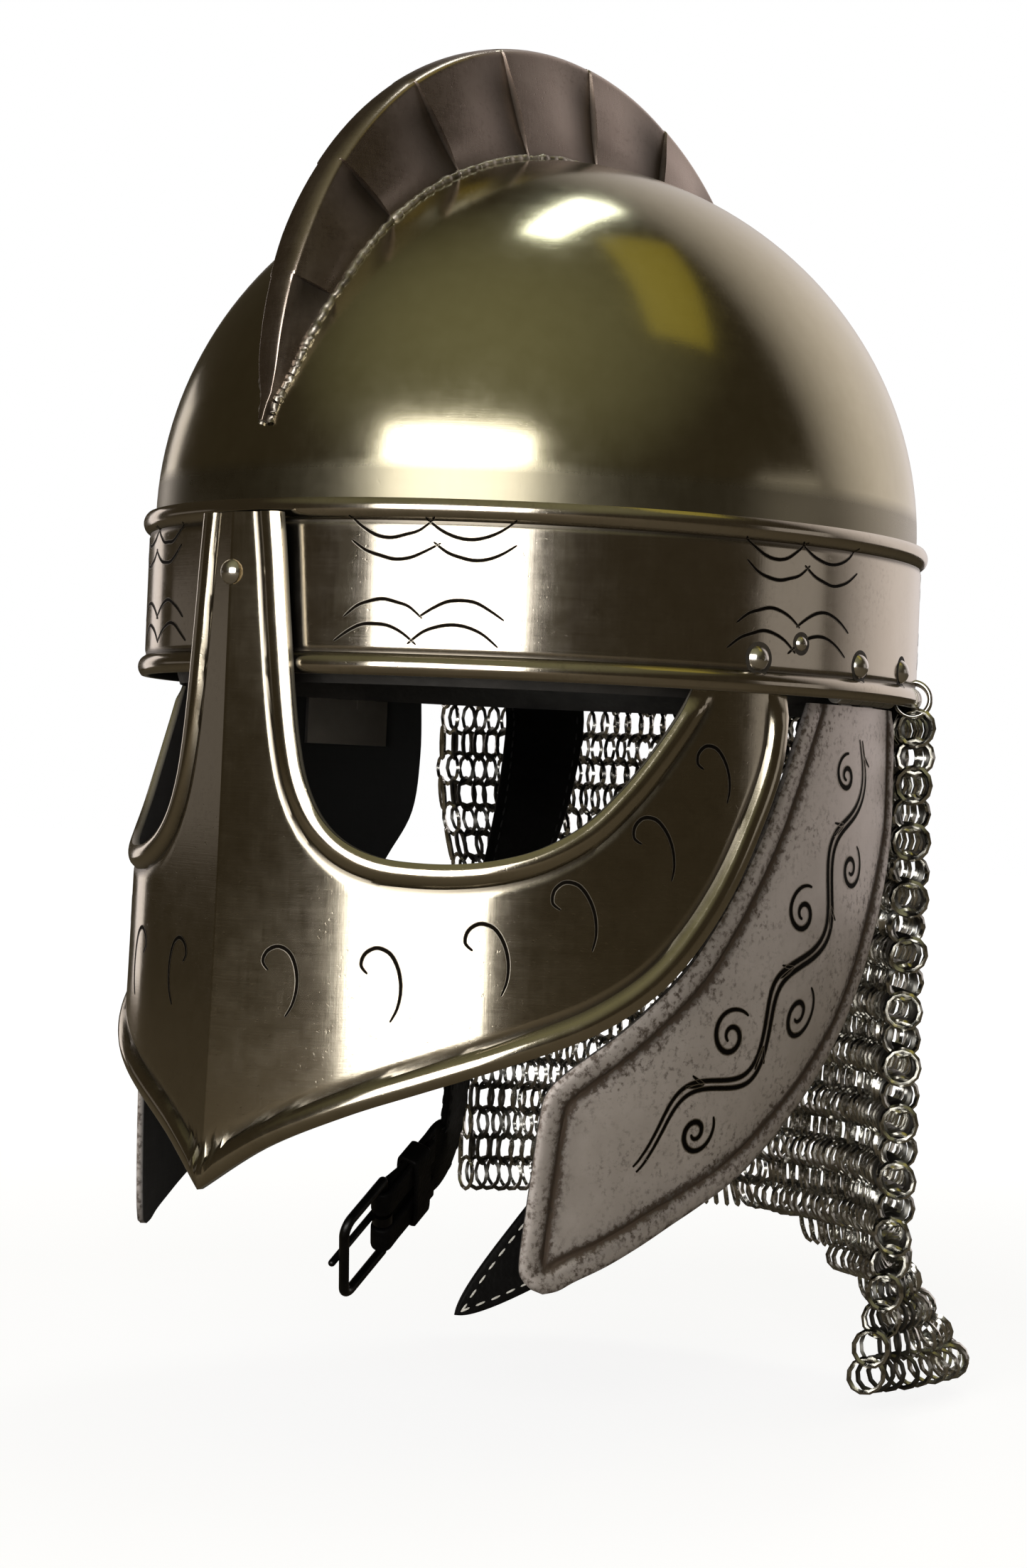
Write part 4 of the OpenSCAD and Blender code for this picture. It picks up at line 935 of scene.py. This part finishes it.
leftStrap = makePiece("leftChinStrap", *strapBody(leftRoute, True), strapLeather, "left_strap", "black_leather",
                      ["left_chin_strap"], sharp=50)
holeT = len(leftRoute) - 1 - strapLook["firstHole"] - strapLook["holeStep"] * np.arange(strapLook["holes"])
holeAt, _, holeFace, _ = strapFrame(leftRoute, holeT)
cutHoles(leftStrap, holeAt, holeFace, strapLook["hole"])
makePiece("leftStrapStitching", *stitches(leftRoute, True, 0.6, 7.93), whiteThread, "left_strap", "black_leather",
          sharp=80)

# The right strap folds round the buckle's bar; its tail lies under it and is sewn down
foldLook = {"loopIn": 1.55, "loopOut": 3.4, "tail": 24.5, "under": -2.35, "halves": ((-12.2, -3.2), (3.2, 12.2))}
lieR, barAt = sideways(lie), sideways(buckleBar)
faceR = sideways(strapFace)
faceR = unit(faceR - (faceR @ lieR) * lieR)
barR = np.cross(faceR, lieR)


def atBuckle(x, y, z):  # along the bar, out of the strap's face, along the strap
    x, y, z = (np.asarray(v)[..., None] for v in (x, y, z))
    return barAt + x * barR + y * faceR + z * lieR


def foldHalf(x0, x1):  # one half of the fold: back along the tail, round the bar, onto the strap
    a = np.radians(np.linspace(-90, 90, 24))
    mid = (foldLook["loopIn"] + foldLook["loopOut"]) / 2
    thick = foldLook["loopOut"] - foldLook["loopIn"]
    path = np.concatenate([np.stack([np.full(10, foldLook["under"]), np.linspace(-foldLook["tail"], -4, 10)], -1),
                           np.stack([mid * np.sin(a), mid * np.cos(a)], -1),
                           [[1.7, -2.0], [0.9, -5.5], [0.3, -9.0]]])
    ahead = unit(np.gradient(path, axis=0))
    up = np.stack([-ahead[:, 1], ahead[:, 0]], -1)
    b = around(16)
    x = (x0 + x1) / 2 + (x1 - x0) / 2 * squarish(np.cos(b), 0.25)
    y = thick / 2 * squarish(np.sin(b), 0.5)
    yz = path[:, None] + y[None, :, None] * up[:, None]
    verts = atBuckle(np.broadcast_to(x, yz.shape[:2]), yz[..., 0], yz[..., 1])
    return verts, rodFaces(len(path), len(b))


folds = [foldHalf(*ends) for ends in foldLook["halves"]]
makePiece("rightChinStrap", *joined([mirrored(*strapBody(rightRoute, False))] + folds), strapLeather, "right_strap",
          "black_leather", ["right_chin_strap"], sharp=50)
makePiece("rightStrapStitching", *mirrored(*stitches(rightRoute, False, 0.6, 9.2)), blackThread, "right_strap",
          "black_leather", sharp=80)

# Keeper: a sewn leather loop round both layers, its two edges a little rounded
keeperLook = {"halfWide": 12.9, "halfDeep": 2.7, "mid": -1.05, "wall": 1.1, "sides": 64,
              "run": (-20.0, -19.6, -12.4, -12.0), "swell": (-0.3, 0.0, 0.0, -0.3)}


def keeperRing(grow, run):  # box with rounded corners round both layers, run along the strap
    b = around(keeperLook["sides"])
    x = (keeperLook["halfWide"] + grow) * squarish(np.cos(b), 0.3)
    y = keeperLook["mid"] + (keeperLook["halfDeep"] + grow) * squarish(np.sin(b), 0.3)
    return atBuckle(x, y, np.full(b.shape, run))


outer = np.stack([keeperRing(keeperLook["wall"] + g, r) for r, g in zip(keeperLook["run"], keeperLook["swell"])], 1)
inner = np.stack([keeperRing(0.0, r) for r in keeperLook["run"]], 1)
makePiece("keeperLoop", np.stack([outer, inner]), shellFaces(*outer.shape[:2], True), strapLeather, "right_strap",
          "black_leather", ["strap_keeper"])

# Liner

linerLook = {"off": -9.0, "thick": 2.2, "low": -2.0, "high": 33.0, "tongues": 8, "from": 24.0, "top": 116.0,
             "turn": 78.0, "span": 165.0, "taper": 0.62, "puff": 0.6, "hemSpan": 210.0, "hemOut": 4.0, "hemIn": 1.9,
             "hemInset": 2.2, "hemRows": 12, "hemSides": 20}
ang, zed = np.meshgrid(np.linspace(0, 360, 160, endpoint=False),
                       np.linspace(linerLook["low"], linerLook["high"], 14), indexing="ij")
middleZ, halfHigh = (linerLook["high"] + linerLook["low"]) / 2, (linerLook["high"] - linerLook["low"]) / 2
middle = linerLook["off"] - linerLook["thick"] / 2
bulge = linerLook["thick"] / 2 * (1 - np.abs((zed - middleZ) / halfHigh) ** 8)  # edges rounded off
makePiece("linerHeadband", np.stack([wall(ang, zed, middle + bulge), wall(ang, zed, middle - bulge)]),
          shellFaces(*ang.shape, True), linerLeather, "helmet", "black_leather", ["liner_headband"], sharp=60)

# Eight tongues that lean in under the bowl, each with a rolled hem round the lace
tongueOff = linerLook["off"] - linerLook["thick"] - shell["gap"]
laceRing = (shell["halfW"] + tongueOff) * math.cos(math.radians(linerLook["turn"]))
u, v = np.meshgrid(np.linspace(-1, 1, 13), np.linspace(0, 1, 26), indexing="ij")
t = np.radians(linerLook["turn"] * v)
z = linerLook["from"] + (linerLook["top"] - linerLook["from"]) * np.sin(t) / math.sin(math.radians(linerLook["turn"]))
halfWide = linerLook["span"] / linerLook["tongues"] * mix(1, linerLook["taper"], smooth(v))
rows, sides = linerLook["hemRows"], linerLook["hemSides"]
b = around(sides)[None]
j = np.arange(sides)
k = (j + 1) % sides
cap = np.stack([j, k, k + rows * sides, j + rows * sides], -1)  # between the hem's outer and inner wall
hemFaces = np.concatenate([gridFaces(rows, sides, wrapV=True),
                           gridFaces(rows, sides, rows * sides, wrapV=True)[:, ::-1],
                           cap[:, ::-1], cap + (rows - 1) * sides])
parts = []
for i in range(linerLook["tongues"]):
    mid = 360 * (i + 0.5) / linerLook["tongues"]
    layers = []
    for inset in (0.0, linerLook["thick"]):
        puff = (0.5 - inset / linerLook["thick"]) * linerLook["puff"] * np.abs(u) ** 6
        p = wall(mid + u * halfWide, z, tongueOff - (inset + puff) * np.cos(t))
        layers.append(np.stack([p[..., 0] * np.cos(t), p[..., 1] * np.cos(t), z - inset * np.sin(t)], -1))
    parts.append((np.stack(layers), shellFaces(*u.shape)))
    hem = linerLook["hemSpan"] / linerLook["tongues"]
    a = np.radians(np.linspace(mid - hem / 2, mid + hem / 2, rows))[:, None]
    rolls = []
    for r in (linerLook["hemOut"], linerLook["hemIn"]):
        reach = laceRing - linerLook["hemInset"] + r * np.cos(b)
        rolls.append(np.stack([reach * np.sin(a), -reach * np.cos(a), linerLook["top"] + r * np.sin(b) + 0 * a], -1))
    parts.append((np.stack(rolls), hemFaces))
makePiece("linerCrown", *joined(parts), linerLeather, "helmet", "black_leather", ["liner_crown"], sharp=60)
print("leather made")

# Carried-over solids: welded and smoothed for show, with their own finish

def dress(names, material, split=38):  # the solid's own mesh, its doubles welded and its hard edges kept
    for name in names:
        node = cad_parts[name]
        node.data.materials.clear()
        node.data.materials.append(material)
        node.data.polygons.foreach_set("use_smooth", np.ones(len(node.data.polygons), bool))
        weld = node.modifiers.new("weld", "WELD")
        weld.merge_threshold = 0.00001
        edges = node.modifiers.new("edges", "EDGE_SPLIT")
        edges.split_angle = math.radians(split)


dress(["nasal_rivet", "mask_end_rivets", "hinge_rivets", "liner_rivets", "strap_rivets"], rivetSteel)
dress(["left_hinge_leaf", "right_hinge_leaf", "left_cheek_leaf", "right_cheek_leaf", "left_hinge_pin",
       "right_hinge_pin", "liner_spacers", "strap_washers"], plainSteel)
dress(["buckle_frame", "buckle_prong"], buckleSteel)
dress(["aventail_hangers"], ringSteel)
dress(["liner_lace"], lacingCord)

# Thin dark ring round each rivet head on the band, a painted shadow of the gap under the head: angle, height, head
# radius
rivetShadowLook = {"gap": 1.1, "lift": 0.1, "edge": 0.02,
            "rivets": [(74.5, 8.9, 3.3), (95.1, 9.1, 3.3), (109.6, 9.1, 3.3), (139, 10, 3.3), (81.9, 13.6, 2.0),
                       (158, 13.6, 2.0)]}
b = around(32)
lift = np.array([rivetShadowLook["lift"], rivetShadowLook["lift"], rivetShadowLook["edge"]])[:, None]
parts = []
for (angle, z, radius), flank in product(rivetShadowLook["rivets"], (1, -1)):
    r = np.array([radius - 0.6, radius + 0.25, radius + rivetShadowLook["gap"]])[:, None]
    s = toArc(flank * angle) + r * np.cos(b)
    parts.append((onBand(s, z + r * np.sin(b), lift), gridFaces(len(r), len(b), wrapV=True)))
makePiece("rivetShadows", *joined(parts), seatShade, "helmet", "satin_steel", sharp=80)
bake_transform(mail)
print("solids dressed")

# Camera, light and floor

def facing(azimuth, elevation, turn):  # sideways, up and backward axes of what looks at the middle from there
    a, e, b = (math.radians(angle) for angle in (azimuth, elevation, turn))
    back = np.array([math.sin(a) * math.cos(e), -math.cos(a) * math.cos(e), math.sin(e)])
    level = np.array([math.cos(a), math.sin(a), 0.0])
    x = math.cos(b) * level + math.sin(b) * np.cross(back, level)
    return x, np.cross(back, x), back


cameraLook = {"azimuth": 40.419, "elevation": -0.004, "roll": 2.371, "distance": 0.90638, "focusPx": 4446.65,
              "target": (0, 0, -0.02593), "shiftPx": 22.78, "widthPx": 1445, "sensor": 36.0}
lens = bpy.data.cameras.new("camera")
lens.sensor_fit, lens.sensor_width = "HORIZONTAL", cameraLook["sensor"]
lens.lens = cameraLook["focusPx"] * cameraLook["sensor"] / cameraLook["widthPx"]
lens.shift_x = -cameraLook["shiftPx"] / cameraLook["widthPx"]
camera = bpy.data.objects.new("camera", lens)
axes = facing(cameraLook["azimuth"], cameraLook["elevation"], cameraLook["roll"])
camera.matrix_world = placed(*axes, np.array(cameraLook["target"]) + axes[2] * cameraLook["distance"])
scene.collection.objects.link(camera)
scene.camera = camera

# Soft boxes: azimuth, elevation, distance, width, height, turn, power, colour
boxLook = {"key": (24, 9, 1.75, 1.42, 1.2, 0, 30.0, (1.0, 0.985, 0.96)),
           "over": (-160, 74.5, 1.5, 0.19, 0.58, 0, 2.5, (0.93, 1.0, 0.95)),
           "amber": (126, 63, 1.5, 0.9, 0.4, 41, 0.3, (1.0, 0.82, 0.04)),
           "side": (-104, 4, 1.9, 0.4, 0.9, 0, 1.2, (1.0, 0.92, 0.9)),
           "wash": (-74, 1, 1.9, 0.9, 0.22, 0, 0.08, (1.0, 0.93, 0.92)),
           "rim": (124, 6, 1.9, 0.74, 0.7, 0, 0.55, (1.0, 0.94, 0.91))}
for name, (azimuth, elevation, far, wide, high, turn, power, tint) in boxLook.items():
    lamp = bpy.data.lights.new(name, "AREA")
    lamp.shape, lamp.size, lamp.size_y = "RECTANGLE", wide, high
    lamp.energy, lamp.color = power, tint
    box = bpy.data.objects.new(name, lamp)
    axes = facing(azimuth, elevation, turn)
    box.matrix_world = placed(*axes, axes[2] * far)
    box.visible_camera = False
    scene.collection.objects.link(box)

# Dim room, a glow from the ceiling in front and a pale wall behind; the camera sees plain white
roomLook = {"room": (0.042, 0.033, 0.020), "ceiling": (0.24, 0.23, 0.13), "wall": (0.95, 0.87, 0.85),
            "ceilingAt": (0.25, -0.43, 0.87), "wallAt": (-0.085, 0.967, 0.242), "ceilingSpan": (0.55, 1.0),
            "wallSpan": (0.68, 0.97), "seen": (1.0, 1.0, 1.0)}
world = bpy.data.worlds.new("room")
scene.world = world
world.use_nodes = True
t = world.node_tree
t.nodes.clear()


def toward(tree, direction, low, high):  # 0 to 1 as a ray turns towards the direction
    ray = tree.nodes.new("ShaderNodeTexCoord").outputs["Generated"]
    dot = addNode(tree, "ShaderNodeVectorMath", {0: ray, 1: direction}, operation="DOT_PRODUCT")
    return ranged(tree, dot.outputs["Value"], low, high)


sky = mixColour(t, toward(t, roomLook["ceilingAt"], *roomLook["ceilingSpan"]), roomLook["room"], roomLook["ceiling"])
sky = mixColour(t, toward(t, roomLook["wallAt"], *roomLook["wallSpan"]), sky, roomLook["wall"])
seen = t.nodes.new("ShaderNodeLightPath").outputs["Is Camera Ray"]
ground = addNode(t, "ShaderNodeBackground", {"Color": mixColour(t, seen, sky, roomLook["seen"])})
addNode(t, "ShaderNodeOutputWorld", {"Surface": ground.outputs[0]})

# Floor: matte under the lights, brightened to white for the camera, dim in mirrors
floorLook = {"z": -0.2035, "half": 6.0, "colour": (0.93, 0.925, 0.92), "mirrored": (0.2, 0.17, 0.13),
             "glow": (1.0, 1.0, 1.0), "bright": 0.7, "near": 1.22, "far": 1.5, "span": (0.35, 1.2)}
floorMesh = bpy.data.meshes.new("floor")
h = floorLook["half"]
floorMesh.from_pydata([(x, y, floorLook["z"]) for x, y in ((-h, -h), (h, -h), (h, h), (-h, h))], [], [(0, 1, 2, 3)])
floor = bpy.data.objects.new("floor", floorMesh)
scene.collection.objects.link(floor)
floorPaint = bpy.data.materials.new("floorPaint")
floorPaint.use_nodes = True
t = floorPaint.node_tree
t.nodes.clear()
path = t.nodes.new("ShaderNodeLightPath").outputs
colour = mixColour(t, path["Is Glossy Ray"], floorLook["colour"], floorLook["mirrored"])
matte = addNode(t, "ShaderNodeBsdfDiffuse", {"Color": colour})
out = addNode(t, "ShaderNodeVectorMath", {0: objectPlace(t)}, operation="LENGTH").outputs["Value"]
strength = ranged(t, out, *floorLook["span"], floorLook["near"], floorLook["far"])
glow = addNode(t, "ShaderNodeEmission", {"Color": floorLook["glow"], "Strength": strength})
share = mathNode(t, "MULTIPLY", path["Is Camera Ray"], floorLook["bright"])
paint = addNode(t, "ShaderNodeMixShader", {0: share, 1: matte.outputs[0], 2: glow.outputs[0]})
addNode(t, "ShaderNodeOutputMaterial", {"Surface": paint.outputs[0]})
floorMesh.materials.append(floorPaint)
scene.view_settings.view_transform = "Standard"
print("camera and light set")
